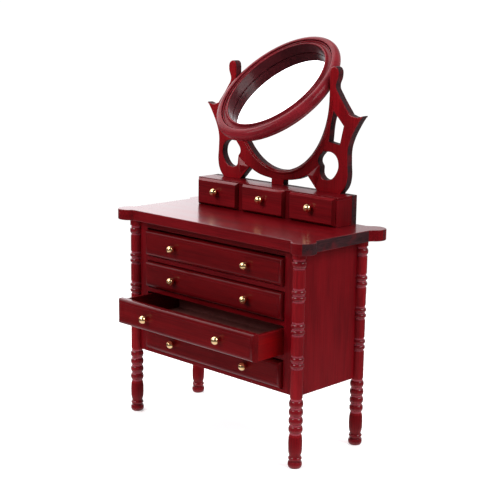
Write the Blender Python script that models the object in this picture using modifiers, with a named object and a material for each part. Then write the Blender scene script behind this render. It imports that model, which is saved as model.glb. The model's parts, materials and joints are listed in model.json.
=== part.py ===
"""Miniature dressing table: a chest of four drawers on turned posts, with a swing mirror.

The mirror hangs in a fretsawn harp that stands behind a low case of three small drawers.
Metres, +Z up, the front faces -Y. The origin is on the floor, at the middle of the whole
object as it is modelled: third drawer open and mirror tipped back.
"""

import math

import bmesh
import bpy
from mathutils import Matrix, Vector

# Fits between pieces
FIT_GAP = 0.0003
MIRROR_CLEARANCE = 0.0005

# Turned posts, one at each corner of the chest
POST_HALF_SPACING_X = 0.0389
POST_HALF_SPACING_Y = 0.0154
POST_RADIUS = 0.00226
POST_SHAFT_RADIUS = 0.00208
POST_GROOVE_RADIUS = 0.00190
POST_STEPS = 12

BEAD_BULGE = (0.0, 0.75, 1.0, 0.75)

LEG_HEIGHT = 0.0237
FOOT_HEIGHT = 0.0027
FOOT_RADIUS = 0.00236
FOOT_SOLE_RADIUS = 0.00203
FOOT_EASE = 0.0008
ANKLE_BEAD_HEIGHT = 0.0016
BARREL_SHOULDER = 0.00106
LEG_BEAD_HEIGHT = 0.00285
LEG_BEADS = 4
LEG_NECK_HEIGHT = 0.0019
PAIR_BEAD_HEIGHT = 0.0022
PAIR_SHOULDER = 0.00055
PAIR_FIRST_RISE = 0.0097
PAIR_PITCH = 0.01095
PAIR_COUNT = 3
CAPITAL_DROP = 0.0052
CAPITAL_COLLAR = 0.0011

# Chest carcass
SIDE_THICKNESS = 0.00225
GUIDE_THICKNESS = 0.0032
BACK_THICKNESS = 0.0022
BOTTOM_THICKNESS = 0.0014
SHELF_THICKNESS = 0.0017
TOP_RAIL_HEIGHT = 0.00135
TOP_RAIL_DEPTH = 0.0030
TOP_DRAWER_GAP = 0.0016

# Table top with its four rounded corners
TOP_THICKNESS = 0.00345
TOP_SIDE_OVERHANG = 0.0043
TOP_FRONT_OVERHANG = 0.0028
TOP_BACK_OVERHANG = 0.0048
TOP_EDGE_ROUND = 0.0003
CORNER_RADIUS = 0.00415
CORNER_REACH = 0.0024
CORNER_COVE_FRONT = 0.0008
CORNER_COVE_BACK = 0.0026
CORNER_COVE_STEPS = 4
CORNER_STEPS = 12

# Four long drawers
DRAWERS = 4
OPEN_DRAWER = 3
OPEN_DISTANCE = 0.0126
DRAWER_FRONT_HEIGHT = 0.0090
DRAWER_FRONT_THICKNESS = 0.0026
DRAWER_FRONT_PROUD = 0.0017
DRAWER_FRONT_ROUND = 0.0013
DRAWER_WALL = 0.0012
DRAWER_BASE = 0.0008
DRAWER_BASE_RISE = 0.0004
DRAWER_TOP_DROP = 0.0006
DRAWER_BACK_CLEARANCE = 0.0006
KNOB_HALF_SPACING = 0.0176

# Ball knobs
KNOB_RADIUS = 0.0013
KNOB_NECK_RADIUS = 0.0007
KNOB_STAND_OFF = 0.0015
KNOB_STEPS = 10
KNOB_BALL_STEPS = 8

# Case of three small drawers on the table top
CASE_HALF_WIDTH = 0.0330
CASE_HEIGHT = 0.0100
CASE_DEPTH = 0.00715
CASE_END = 0.0008
CASE_TOP = 0.0009
CASE_PARTITION = 0.0028
SMALL_DRAWERS = 3
SMALL_FRONT_THICKNESS = 0.00135
SMALL_FRONT_OVERLAP = 0.0002
SMALL_FRONT_ROUND = 0.0008
SMALL_FRONT_RISE = 0.0012
SMALL_FRONT_TOP_DROP = 0.0003
SMALL_KNOB_RISE = 0.0001
SMALL_WALL = 0.0012

# Harp that carries the mirror
HARP_THICKNESS = 0.0030
HARP_BACK_INSET = 0.0004
HARP_BAR_RISE = 0.0052
HARP_FRET_SHIFT = -0.0009
HARP_FOOT_REACH = 0.0061
HARP_RAIL_MARGIN = 0.0010
HARP_OVAL_STEPS = 8
CENTRE_FOOT_HALF_WIDTH = 0.0029

# Oval swing mirror
MIRROR_HALF_WIDTH = 0.0214
MIRROR_HALF_HEIGHT = 0.0263
MIRROR_FRAME_WIDTH = 0.0057
MIRROR_FRAME_FRONT = 0.00215
MIRROR_FRAME_BACK = 0.0026
MIRROR_LIP_WIDTH = 0.0004
MIRROR_LIP_DROP = 0.0002
MIRROR_COVE_OUT = 0.0020
MIRROR_COVE_DROP = 0.0009
MIRROR_BEAD_OUT = 0.0026
MIRROR_BEAD_DROP = 0.0004
MIRROR_BAND_RADIUS = 0.0022
MIRROR_BAND_DROP = 0.0001
MIRROR_BAND_TURN = 150
MIRROR_BAND_STEPS = 6
MIRROR_TILT = math.radians(51.7)
MIRROR_STEPS = 56
GLASS_THICKNESS = 0.0006
GLASS_SEAT_WIDTH = 0.0012
GLASS_BACK_INSET = 0.0003
PIVOT_ABOVE_CENTRE = 0.0025
PIVOT_BEHIND_CENTRE = 0.0012
PIVOT_PIN_RADIUS = 0.0005
PIVOT_PIN_DEPTH = 0.0014

# Places worked out from the sizes above
GUIDE_OUTER_X = POST_HALF_SPACING_X - SIDE_THICKNESS - FIT_GAP
OPENING_HALF_WIDTH = GUIDE_OUTER_X - GUIDE_THICKNESS
INNER_HALF_WIDTH = OPENING_HALF_WIDTH - FIT_GAP
CARCASS_FRONT_Y = -POST_HALF_SPACING_Y
CARCASS_BACK_Y = POST_HALF_SPACING_Y
BACK_PANEL_FRONT_Y = CARCASS_BACK_Y - BACK_THICKNESS
INNER_BACK_Y = BACK_PANEL_FRONT_Y - FIT_GAP
SIDE_HALF_DEPTH = POST_HALF_SPACING_Y - POST_RADIUS - FIT_GAP
DRAWER_PITCH = DRAWER_FRONT_HEIGHT + SHELF_THICKNESS + 2 * FIT_GAP
FIRST_OPENING_Z = LEG_HEIGHT + BOTTOM_THICKNESS
TOP_RAIL_Z = FIRST_OPENING_Z + DRAWERS * DRAWER_PITCH - SHELF_THICKNESS - FIT_GAP + TOP_DRAWER_GAP
CARCASS_TOP_Z = TOP_RAIL_Z + TOP_RAIL_HEIGHT
TABLE_UNDER_Z = CARCASS_TOP_Z + FIT_GAP
TABLE_Z = TABLE_UNDER_Z + TOP_THICKNESS
TOP_HALF_WIDTH = POST_HALF_SPACING_X + TOP_SIDE_OVERHANG
TOP_FRONT_Y = CARCASS_FRONT_Y - TOP_FRONT_OVERHANG
TOP_BACK_Y = CARCASS_BACK_Y + TOP_BACK_OVERHANG

DRAWER_FACE_Y = CARCASS_FRONT_Y - DRAWER_FRONT_PROUD
DRAWER_FRONT_BACK_Y = DRAWER_FACE_Y + DRAWER_FRONT_THICKNESS
TRAY_FRONT_Y = DRAWER_FRONT_BACK_Y + FIT_GAP
TRAY_BACK_Y = INNER_BACK_Y - DRAWER_BACK_CLEARANCE

CASE_BASE_Z = TABLE_Z + FIT_GAP
CASE_TOP_Z = TABLE_Z + CASE_HEIGHT
HARP_BACK_Y = TOP_BACK_Y - HARP_BACK_INSET
HARP_FRONT_Y = HARP_BACK_Y - HARP_THICKNESS
CASE_BACK_Y = HARP_FRONT_Y - FIT_GAP
CASE_FRONT_Y = CASE_BACK_Y - CASE_DEPTH
POCKET_WIDTH = (
    2 * CASE_HALF_WIDTH - 2 * CASE_END - (SMALL_DRAWERS - 1) * CASE_PARTITION
) / SMALL_DRAWERS
POCKET_PITCH = POCKET_WIDTH + CASE_PARTITION

HARP_INNER_HALF_WIDTH = MIRROR_HALF_WIDTH + MIRROR_CLEARANCE
HARP_INNER_DEPTH = MIRROR_HALF_HEIGHT + MIRROR_CLEARANCE
HARP_FOOT_HALF_WIDTH = HARP_INNER_HALF_WIDTH + HARP_FOOT_REACH
HARP_RAIL_HALF_WIDTH = max(CASE_HALF_WIDTH, HARP_FOOT_HALF_WIDTH + HARP_RAIL_MARGIN)
MIRROR_CENTRE_Z = CASE_TOP_Z + HARP_BAR_RISE + HARP_INNER_DEPTH
PIVOT_Y = (HARP_FRONT_Y + HARP_BACK_Y) / 2
PIVOT_Z = MIRROR_CENTRE_Z + PIVOT_ABOVE_CENTRE
MIRROR_WIDTH_SHARE = MIRROR_HALF_WIDTH / MIRROR_HALF_HEIGHT

# Colours and finishes: red lacquer, plain wood inside, brass, silvered glass
RED = (0.145, 0.008, 0.014, 1.0)
DARK_RED = (0.070, 0.005, 0.009, 1.0)
BRASS = (0.80, 0.58, 0.24, 1.0)
SILVER = (0.90, 0.91, 0.92, 1.0)


def clear_scene():
    for item in list(bpy.data.objects):
        bpy.data.objects.remove(item, do_unlink=True)
    for group in list(bpy.data.collections):
        bpy.data.collections.remove(group)


def new_collection(name):
    group = bpy.data.collections.new(name)
    bpy.context.scene.collection.children.link(group)
    return group


def principled(name, colour, roughness, metallic=0.0, coat=0.0):
    material = bpy.data.materials.new(name)
    material.use_nodes = True
    shader = material.node_tree.nodes["Principled BSDF"]
    shader.inputs["Base Color"].default_value = colour
    shader.inputs["Roughness"].default_value = roughness
    shader.inputs["Metallic"].default_value = metallic
    shader.inputs["Coat Weight"].default_value = coat
    material.diffuse_color = colour
    return material


def add_object(name, data, material, parent, group):
    """Link a new object, in its own material, under its parent empty."""
    item = bpy.data.objects.new(name, data)
    if material is not None:
        data.materials.clear()
        data.materials.append(material)
    group.objects.link(item)
    item.parent = parent
    return item


def add_empty(name, location, parent, group):
    item = bpy.data.objects.new(name, None)
    item.empty_display_size = FIT_GAP * 10
    item.location = location
    item.parent = parent
    group.objects.link(item)
    return item


def box_mesh(name, low, high, rounded=0.0, front_only=False, segments=2):
    """A box between two corners. Its edges, or only those of its front face, can be rounded."""
    low = Vector(low)
    high = Vector(high)
    size = high - low
    shape = bmesh.new()
    place = Matrix.Translation((low + high) / 2) @ Matrix.Diagonal((*size, 1.0))
    bmesh.ops.create_cube(shape, size=1.0, matrix=place)
    if rounded > 0.0:
        edges = list(shape.edges)
        if front_only:
            limit = low.y + size.y / 4
            edges = [edge for edge in edges if all(vert.co.y < limit for vert in edge.verts)]
        bmesh.ops.bevel(
            shape,
            geom=edges,
            offset=rounded,
            segments=segments,
            profile=0.5,
            affect="EDGES",
            material=-1,
        )
    mesh = bpy.data.meshes.new(name)
    shape.to_mesh(mesh)
    shape.free()
    return mesh


def add_box(name, low, high, material, parent, group, **rounding):
    return add_object(name, box_mesh(name, low, high, **rounding), material, parent, group)


def turned_mesh(name, profile):
    """The profile of a turned piece, from top to bottom, in the XZ plane."""
    mesh = bpy.data.meshes.new(name)
    shape = bmesh.new()
    verts = [shape.verts.new((radius, 0.0, height)) for radius, height in profile]
    for start, end in zip(verts, verts[1:]):
        shape.edges.new((start, end))
    shape.to_mesh(mesh)
    shape.free()
    return mesh


def add_screw(item, steps):
    screw = item.modifiers.new("Turned", "SCREW")
    screw.steps = steps
    screw.render_steps = steps
    screw.use_merge_vertices = True
    screw.merge_threshold = 0.00001
    screw.use_smooth_shade = True
    return screw


def add_outline(name, splines, thickness, group, resolution=4):
    """A flat outline with holes, cut from a board. Each spline is a list of (x, z, is_smooth)."""
    curve = bpy.data.curves.new(name, "CURVE")
    curve.dimensions = "2D"
    curve.fill_mode = "BOTH"
    curve.extrude = thickness / 2
    curve.resolution_u = resolution
    for points in splines:
        spline = curve.splines.new("BEZIER")
        spline.bezier_points.add(len(points) - 1)
        spline.use_cyclic_u = True
        for knot, (across, along, is_smooth) in zip(spline.bezier_points, points):
            knot.co = (across, along, 0.0)
            handle = "AUTO" if is_smooth else "VECTOR"
            knot.handle_left_type = handle
            knot.handle_right_type = handle
    item = bpy.data.objects.new(name, curve)
    group.objects.link(item)
    return item


def curve_to_mesh_object(item, material, parent, group):
    """Swap a curve object for a mesh object with welded caps, in the same place."""
    name = item.name
    bpy.context.view_layer.update()
    graph = bpy.context.evaluated_depsgraph_get()
    mesh = bpy.data.meshes.new_from_object(item.evaluated_get(graph))
    place = item.matrix_world.copy()
    curve = item.data
    bpy.data.objects.remove(item)
    bpy.data.curves.remove(curve)
    shape = bmesh.new()
    shape.from_mesh(mesh)
    bmesh.ops.remove_doubles(shape, verts=shape.verts, dist=0.000001)
    bmesh.ops.recalc_face_normals(shape, faces=shape.faces)
    shape.to_mesh(mesh)
    shape.free()
    mesh.name = name
    made = add_object(name, mesh, material, parent, group)
    made.matrix_local = place
    return made


def cut(item, cutter):
    boolean = item.modifiers.new("Cut", "BOOLEAN")
    boolean.operation = "DIFFERENCE"
    boolean.solver = "EXACT"
    boolean.object = cutter


def join(item, other):
    boolean = item.modifiers.new("Join", "BOOLEAN")
    boolean.operation = "UNION"
    boolean.solver = "EXACT"
    boolean.object = other


def as_helper(item):
    item.hide_render = True
    item.display_type = "WIRE"


def bead(low, height, radius=POST_RADIUS, groove=POST_GROOVE_RADIUS):
    """Radii and heights of one rounded bead, from its lower groove to just under its upper one."""
    step = height / len(BEAD_BULGE)
    return [
        (groove + (radius - groove) * share, low + step * index)
        for index, share in enumerate(BEAD_BULGE)
    ]


def post_profile():
    """One post from floor to table top: foot, barrel, four beads, then bead pairs on the shaft."""
    points = [(0.0, 0.0), (FOOT_SOLE_RADIUS, 0.0), (FOOT_RADIUS, FOOT_EASE)]
    points += [(FOOT_RADIUS, FOOT_HEIGHT - FOOT_EASE), (POST_GROOVE_RADIUS, FOOT_HEIGHT)]
    ankle = bead(FOOT_HEIGHT, ANKLE_BEAD_HEIGHT)
    points += ankle[1:]
    barrel_low = FOOT_HEIGHT + ANKLE_BEAD_HEIGHT
    beads_low = LEG_HEIGHT - LEG_NECK_HEIGHT / 2 - LEG_BEADS * LEG_BEAD_HEIGHT
    points.append((POST_GROOVE_RADIUS, barrel_low))
    points.append((POST_SHAFT_RADIUS, barrel_low + BARREL_SHOULDER))
    points.append((POST_RADIUS, (barrel_low + beads_low) / 2))
    points.append((POST_SHAFT_RADIUS, beads_low - BARREL_SHOULDER))
    for index in range(LEG_BEADS):
        points += bead(beads_low + index * LEG_BEAD_HEIGHT, LEG_BEAD_HEIGHT)
    points.append((POST_GROOVE_RADIUS, beads_low + LEG_BEADS * LEG_BEAD_HEIGHT))
    points.append((POST_SHAFT_RADIUS, LEG_HEIGHT + LEG_NECK_HEIGHT / 2))
    for index in range(PAIR_COUNT):
        low = LEG_HEIGHT + PAIR_FIRST_RISE + index * PAIR_PITCH
        high = low + 2 * PAIR_BEAD_HEIGHT
        points.append((POST_SHAFT_RADIUS, low - PAIR_SHOULDER))
        points += bead(low, PAIR_BEAD_HEIGHT)
        points += bead(low + PAIR_BEAD_HEIGHT, PAIR_BEAD_HEIGHT)
        points.append((POST_GROOVE_RADIUS, high))
        points.append((POST_SHAFT_RADIUS, high + PAIR_SHOULDER))
    capital = CARCASS_TOP_Z - CAPITAL_DROP
    points.append((POST_SHAFT_RADIUS, capital - PAIR_SHOULDER))
    points += bead(capital, PAIR_BEAD_HEIGHT)
    points.append((POST_GROOVE_RADIUS, capital + PAIR_BEAD_HEIGHT))
    points.append((POST_RADIUS, CARCASS_TOP_Z - CAPITAL_COLLAR))
    points.append((POST_RADIUS, CARCASS_TOP_Z))
    points.append((0.0, CARCASS_TOP_Z))
    return points[::-1]


def build_posts(material, parent, group):
    mesh = turned_mesh("post", post_profile())
    for depth, side_y in (("front", -1), ("back", 1)):
        for side, side_x in (("left", -1), ("right", 1)):
            post = add_object(f"post_{depth}_{side}", mesh, material, parent, group)
            post.location.x = side_x * POST_HALF_SPACING_X
            post.location.y = side_y * POST_HALF_SPACING_Y
            add_screw(post, POST_STEPS)


def corner_arc(centre, radius, start, end, count):
    """Points of an arc in the XY plane, as angles in degrees, both ends included."""
    points = []
    for index in range(count):
        angle = math.radians(start + (end - start) * index / (count - 1))
        points.append((centre[0] + radius * math.cos(angle), centre[1] + radius * math.sin(angle)))
    return points


def top_corner(end_y, outward, cove):
    """The right-hand corner lobe at one end, from the end edge round to the side edge.

    outward is -1 at the front and +1 at the back. The cove is the small hollow that joins
    the lobe to each straight edge.
    """
    centre_x = TOP_HALF_WIDTH + CORNER_REACH - CORNER_RADIUS
    inset = CORNER_RADIUS - CORNER_REACH
    run = math.sqrt((CORNER_RADIUS + cove) ** 2 - (inset + cove) ** 2)
    turn = math.degrees(math.atan2(inset + cove, run))
    points = corner_arc((centre_x - run, cove), cove, -90, -turn, CORNER_COVE_STEPS)
    points += corner_arc((centre_x, -inset), CORNER_RADIUS, 180 - turn, turn - 90, CORNER_STEPS)
    side_cove = (TOP_HALF_WIDTH + cove, -inset - run)
    points += corner_arc(side_cove, cove, 90 + turn, 180, CORNER_COVE_STEPS)
    return [(x, end_y + outward * y) for x, y in points]


def table_top_outline():
    """The outline of the whole top, anticlockwise from the front left."""
    front = top_corner(TOP_FRONT_Y, -1, CORNER_COVE_FRONT)
    back = top_corner(TOP_BACK_Y, 1, CORNER_COVE_BACK)
    right = front + back[::-1]
    left = [(-x, y) for x, y in right[::-1]]
    return right + left


def build_table_top(material, parent, group):
    shape = bmesh.new()
    verts = [shape.verts.new((x, y, TABLE_UNDER_Z)) for x, y in table_top_outline()]
    face = shape.faces.new(verts)
    grown = bmesh.ops.extrude_face_region(shape, geom=[face])
    lifted = [item for item in grown["geom"] if isinstance(item, bmesh.types.BMVert)]
    bmesh.ops.translate(shape, verts=lifted, vec=(0.0, 0.0, TOP_THICKNESS))
    bmesh.ops.recalc_face_normals(shape, faces=shape.faces)
    rims = [edge for edge in shape.edges if abs(edge.verts[0].co.z - edge.verts[1].co.z) < FIT_GAP]
    bmesh.ops.bevel(
        shape,
        geom=rims,
        offset=TOP_EDGE_ROUND,
        segments=1,
        profile=0.5,
        affect="EDGES",
        material=-1,
    )
    mesh = bpy.data.meshes.new("table_top")
    shape.to_mesh(mesh)
    shape.free()
    add_object("table_top", mesh, material, parent, group)


def build_carcass(material, parent, group):
    """Sides, drawer guides, back, bottom, shelves and top rail, between the posts."""
    outer = POST_HALF_SPACING_X
    for side, sign in (("left", -1), ("right", 1)):
        edges = sorted((sign * (outer - SIDE_THICKNESS), sign * outer))
        add_box(
            f"side_panel_{side}",
            (edges[0], -SIDE_HALF_DEPTH, LEG_HEIGHT),
            (edges[1], SIDE_HALF_DEPTH, CARCASS_TOP_Z),
            material,
            parent,
            group,
        )
        edges = sorted((sign * OPENING_HALF_WIDTH, sign * GUIDE_OUTER_X))
        add_box(
            f"drawer_guide_{side}",
            (edges[0], CARCASS_FRONT_Y, LEG_HEIGHT),
            (edges[1], INNER_BACK_Y, CARCASS_TOP_Z),
            material,
            parent,
            group,
        )
    add_box(
        "back_panel",
        (-GUIDE_OUTER_X, BACK_PANEL_FRONT_Y, LEG_HEIGHT),
        (GUIDE_OUTER_X, CARCASS_BACK_Y, CARCASS_TOP_Z),
        material,
        parent,
        group,
    )
    add_box(
        "bottom_board",
        (-INNER_HALF_WIDTH, CARCASS_FRONT_Y, LEG_HEIGHT),
        (INNER_HALF_WIDTH, INNER_BACK_Y, FIRST_OPENING_Z),
        material,
        parent,
        group,
    )
    for index in range(1, DRAWERS):
        low = FIRST_OPENING_Z + index * DRAWER_PITCH - SHELF_THICKNESS
        add_box(
            f"shelf_{DRAWERS - index}",
            (-INNER_HALF_WIDTH, CARCASS_FRONT_Y, low),
            (INNER_HALF_WIDTH, INNER_BACK_Y, low + SHELF_THICKNESS),
            material,
            parent,
            group,
        )
    add_box(
        "top_rail",
        (-INNER_HALF_WIDTH, CARCASS_FRONT_Y, TOP_RAIL_Z),
        (INNER_HALF_WIDTH, CARCASS_FRONT_Y + TOP_RAIL_DEPTH, CARCASS_TOP_Z),
        material,
        parent,
        group,
    )


def knob_profile():
    """A ball on a short neck, from its front end to its back end, along the turning axis."""
    points = []
    ball_turn = math.pi - math.asin(KNOB_NECK_RADIUS / KNOB_RADIUS)
    for index in range(KNOB_BALL_STEPS + 1):
        angle = ball_turn * index / KNOB_BALL_STEPS
        points.append((KNOB_RADIUS * math.sin(angle), KNOB_RADIUS * math.cos(angle)))
    neck_end = FIT_GAP - KNOB_STAND_OFF
    points.append((KNOB_NECK_RADIUS, neck_end))
    points.append((0.0, neck_end))
    return points


def add_knob(name, mesh, place, material, parent, group):
    knob = add_object(name, mesh, material, parent, group)
    knob.location = place
    knob.rotation_euler.x = math.pi / 2
    add_screw(knob, KNOB_STEPS)


def build_drawer(number, knob_mesh, red, inner, brass, parent, group):
    """One long drawer: front, two sides, back, base and two knobs, on its own empty."""
    slide = OPEN_DISTANCE if number == OPEN_DRAWER else 0.0
    low = FIRST_OPENING_Z + (DRAWERS - number) * DRAWER_PITCH + FIT_GAP
    name = f"drawer_{number}"
    drawer = add_empty(f"{name}_slide", (0.0, -slide, low), parent, group)
    half = INNER_HALF_WIDTH
    tray_top = DRAWER_FRONT_HEIGHT - DRAWER_TOP_DROP
    add_box(
        f"{name}_front",
        (-half, DRAWER_FACE_Y, 0.0),
        (half, DRAWER_FRONT_BACK_Y, DRAWER_FRONT_HEIGHT),
        red,
        drawer,
        group,
        rounded=DRAWER_FRONT_ROUND,
        front_only=True,
    )
    for side, sign in (("left", -1), ("right", 1)):
        edges = sorted((sign * (half - DRAWER_WALL), sign * half))
        add_box(
            f"{name}_side_{side}",
            (edges[0], TRAY_FRONT_Y, 0.0),
            (edges[1], TRAY_BACK_Y, tray_top),
            red,
            drawer,
            group,
        )
        place = (sign * KNOB_HALF_SPACING, DRAWER_FACE_Y - KNOB_STAND_OFF, DRAWER_FRONT_HEIGHT / 2)
        add_knob(f"{name}_knob_{side}", knob_mesh, place, brass, drawer, group)
    between = half - DRAWER_WALL - FIT_GAP
    add_box(
        f"{name}_back",
        (-between, TRAY_BACK_Y - DRAWER_WALL, 0.0),
        (between, TRAY_BACK_Y, tray_top),
        inner,
        drawer,
        group,
    )
    add_box(
        f"{name}_base",
        (-between, TRAY_FRONT_Y, DRAWER_BASE_RISE),
        (between, TRAY_BACK_Y - DRAWER_WALL - FIT_GAP, DRAWER_BASE_RISE + DRAWER_BASE),
        inner,
        drawer,
        group,
    )


def build_case(material, parent, group):
    """Top, ends and partitions of the small case. It has no floor: its drawers run on the top."""
    under = CASE_TOP_Z - CASE_TOP
    add_box(
        "case_top",
        (-CASE_HALF_WIDTH, CASE_FRONT_Y, under),
        (CASE_HALF_WIDTH, CASE_BACK_Y, CASE_TOP_Z),
        material,
        parent,
        group,
    )
    for side, sign in (("left", -1), ("right", 1)):
        edges = sorted((sign * (CASE_HALF_WIDTH - CASE_END), sign * CASE_HALF_WIDTH))
        add_box(
            f"case_end_{side}",
            (edges[0], CASE_FRONT_Y, CASE_BASE_Z),
            (edges[1], CASE_BACK_Y, under - FIT_GAP),
            material,
            parent,
            group,
        )
        middle = sign * POCKET_PITCH / 2
        add_box(
            f"case_partition_{side}",
            (middle - CASE_PARTITION / 2, CASE_FRONT_Y, CASE_BASE_Z),
            (middle + CASE_PARTITION / 2, CASE_BACK_Y, under - FIT_GAP),
            material,
            parent,
            group,
        )


def build_small_drawer(name, middle, knob_mesh, red, brass, parent, group, helpers):
    """A small drawer: one hollowed block with a bevelled front, and its knob."""
    low = TABLE_Z + SMALL_FRONT_RISE
    high = CASE_TOP_Z - SMALL_FRONT_TOP_DROP
    back_of_front = CASE_FRONT_Y - FIT_GAP
    face = back_of_front - SMALL_FRONT_THICKNESS + FIT_GAP
    half_front = POCKET_WIDTH / 2 + SMALL_FRONT_OVERLAP
    half_block = POCKET_WIDTH / 2 - FIT_GAP
    block_top = CASE_TOP_Z - CASE_TOP - FIT_GAP
    block_back = CASE_BACK_Y - FIT_GAP
    drawer = add_empty(f"{name}_slide", (middle, 0.0, 0.0), parent, group)
    front = add_box(
        name,
        (-half_front, face, low),
        (half_front, back_of_front, high),
        red,
        drawer,
        group,
        rounded=SMALL_FRONT_ROUND,
        front_only=True,
    )
    block = add_box(
        f"{name}_block",
        (-half_block, back_of_front - SMALL_FRONT_THICKNESS / 4, CASE_BASE_Z),
        (half_block, block_back, block_top),
        None,
        drawer,
        helpers,
    )
    hollow = add_box(
        f"{name}_hollow",
        (SMALL_WALL - half_block, back_of_front, CASE_BASE_Z + SMALL_WALL),
        (half_block - SMALL_WALL, block_back - SMALL_WALL, high + CASE_HEIGHT),
        None,
        drawer,
        helpers,
    )
    as_helper(block)
    as_helper(hollow)
    join(front, block)
    cut(front, hollow)
    knob_z = (low + high) / 2 + SMALL_KNOB_RISE
    add_knob(f"{name}_knob", knob_mesh, (0.0, face - KNOB_STAND_OFF, knob_z), brass, drawer, group)


def harp_outer_outline():
    """The harp's outer edge and its oval opening, as one closed line of curve points."""
    inner = HARP_INNER_HALF_WIDTH
    base = CASE_TOP_Z
    middle = MIRROR_CENTRE_Z
    rail = HARP_RAIL_HALF_WIDTH
    right = [(rail, CASE_BASE_Z, False), (rail, base, False)]
    # Foot and column, up from the rail behind the case
    for across, rise, is_smooth in (
        (HARP_FOOT_REACH, 0.0, False),
        (0.0079, 0.0023, True),
        (0.0088, 0.0055, True),
        (0.0086, 0.0105, True),
    ):
        right.append((inner + across, base + rise, is_smooth))
    # Pointed horn, slanting strut, neck and rounded head, measured from the oval's middle
    for across, rise, is_smooth in (
        (0.0086, -0.0172, True),
        (0.0094, -0.0142, True),
        (0.0120, -0.0092, True),
        (0.0146, -0.0054, False),
        (0.0118, -0.0060, True),
        (0.0090, -0.0053, False),
        (0.0041, 0.0011, True),
        (0.00275, 0.0035, True),
        (0.0037, 0.0070, True),
        (0.0034, 0.0093, True),
        (0.0020, 0.0101, True),
        (0.0005, 0.0096, True),
        (0.0, 0.0080, False),
    ):
        right.append((inner + across, middle + rise, is_smooth))
    # The lower half of an oval
    for index in range(HARP_OVAL_STEPS):
        angle = math.pi / 2 * index / HARP_OVAL_STEPS
        across = inner * math.cos(angle)
        drop = HARP_INNER_DEPTH * math.sin(angle)
        right.append((across, middle - drop, index > 0))
    left = [(-across, along, is_smooth) for across, along, is_smooth in right[::-1]]
    return right + [(0.0, middle - HARP_INNER_DEPTH, True)] + left


def harp_fret_outlines():
    """The six sawn openings: two beside the oval, two low down and two between the feet."""
    inner = HARP_INNER_HALF_WIDTH
    base = CASE_TOP_Z
    middle = MIRROR_CENTRE_Z
    upper = [
        (inner + across, middle + rise, is_smooth)
        for across, rise, is_smooth in (
            (0.0031, -0.0048, False),
            (0.0020, -0.0085, True),
            (0.0013, -0.0150, False),
            (0.0059, -0.0157, False),
            (0.0074, -0.0093, False),
        )
    ]
    lower = [
        (inner + across, base + rise, is_smooth)
        for across, rise, is_smooth in (
            (-0.0012, 0.0135, False),
            (0.0034, 0.0131, True),
            (0.0054, 0.0105, True),
            (0.0047, 0.0066, True),
            (0.0011, 0.0040, True),
            (-0.0020, 0.0052, True),
            (-0.0024, 0.0083, False),
            (-0.0034, 0.0101, True),
        )
    ]
    gap = [
        (CENTRE_FOOT_HALF_WIDTH, base, False),
        (CENTRE_FOOT_HALF_WIDTH, base + 0.0017, False),
        (inner - 0.0128, base + 0.0027, True),
        (inner - 0.0081, base + 0.0046, False),
        (inner - 0.0037, base, False),
    ]
    outlines = []
    for points in (upper, lower, gap):
        for sign in (1, -1):
            outlines.append(
                [(sign * across + HARP_FRET_SHIFT, along, is_smooth) for across, along, is_smooth in points]
            )
    return outlines


def build_harp(material, parent, group, helpers):
    splines = [harp_outer_outline()] + harp_fret_outlines()
    board = add_outline("harp_board", splines, HARP_THICKNESS, group)
    board.rotation_euler.x = math.pi / 2
    board.location.y = PIVOT_Y
    harp = curve_to_mesh_object(board, material, parent, group)
    for side, sign in (("left", -1), ("right", 1)):
        hole = pin_cutter(f"harp_hole_{side}", sign, parent, helpers)
        cut(harp, hole)


def rod_mesh(name, radius, length, sides=10):
    """A short rod along X, centred on the origin."""
    shape = bmesh.new()
    bmesh.ops.create_cone(
        shape,
        cap_ends=True,
        segments=sides,
        radius1=radius,
        radius2=radius,
        depth=length,
        matrix=Matrix.Rotation(math.pi / 2, 4, "Y"),
    )
    mesh = bpy.data.meshes.new(name)
    shape.to_mesh(mesh)
    shape.free()
    return mesh


def pin_reach():
    """Inner and outer ends of a pivot pin, measured from the middle of the mirror."""
    share = PIVOT_ABOVE_CENTRE / MIRROR_HALF_HEIGHT
    frame_edge = MIRROR_HALF_WIDTH * math.sqrt(1 - share**2)
    return frame_edge - PIVOT_PIN_DEPTH, HARP_INNER_HALF_WIDTH + PIVOT_PIN_DEPTH


def pin_cutter(name, sign, parent, helpers):
    """The hole for a pivot pin, a little wider and longer than the pin at both ends."""
    inner, outer = pin_reach()
    length = outer - inner + 2 * FIT_GAP
    mesh = rod_mesh(name, PIVOT_PIN_RADIUS + FIT_GAP, length)
    hole = add_object(name, mesh, None, parent, helpers)
    hole.location = (sign * (inner + outer) / 2, PIVOT_Y, PIVOT_Z)
    as_helper(hole)
    return hole


def build_pins(material, parent, group):
    inner, outer = pin_reach()
    mesh = rod_mesh("pivot_pin", PIVOT_PIN_RADIUS, outer - inner)
    for side, sign in (("left", -1), ("right", 1)):
        pin = add_object(f"pivot_pin_{side}", mesh, material, parent, group)
        pin.location = (sign * (inner + outer) / 2, PIVOT_Y, PIVOT_Z)


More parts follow.
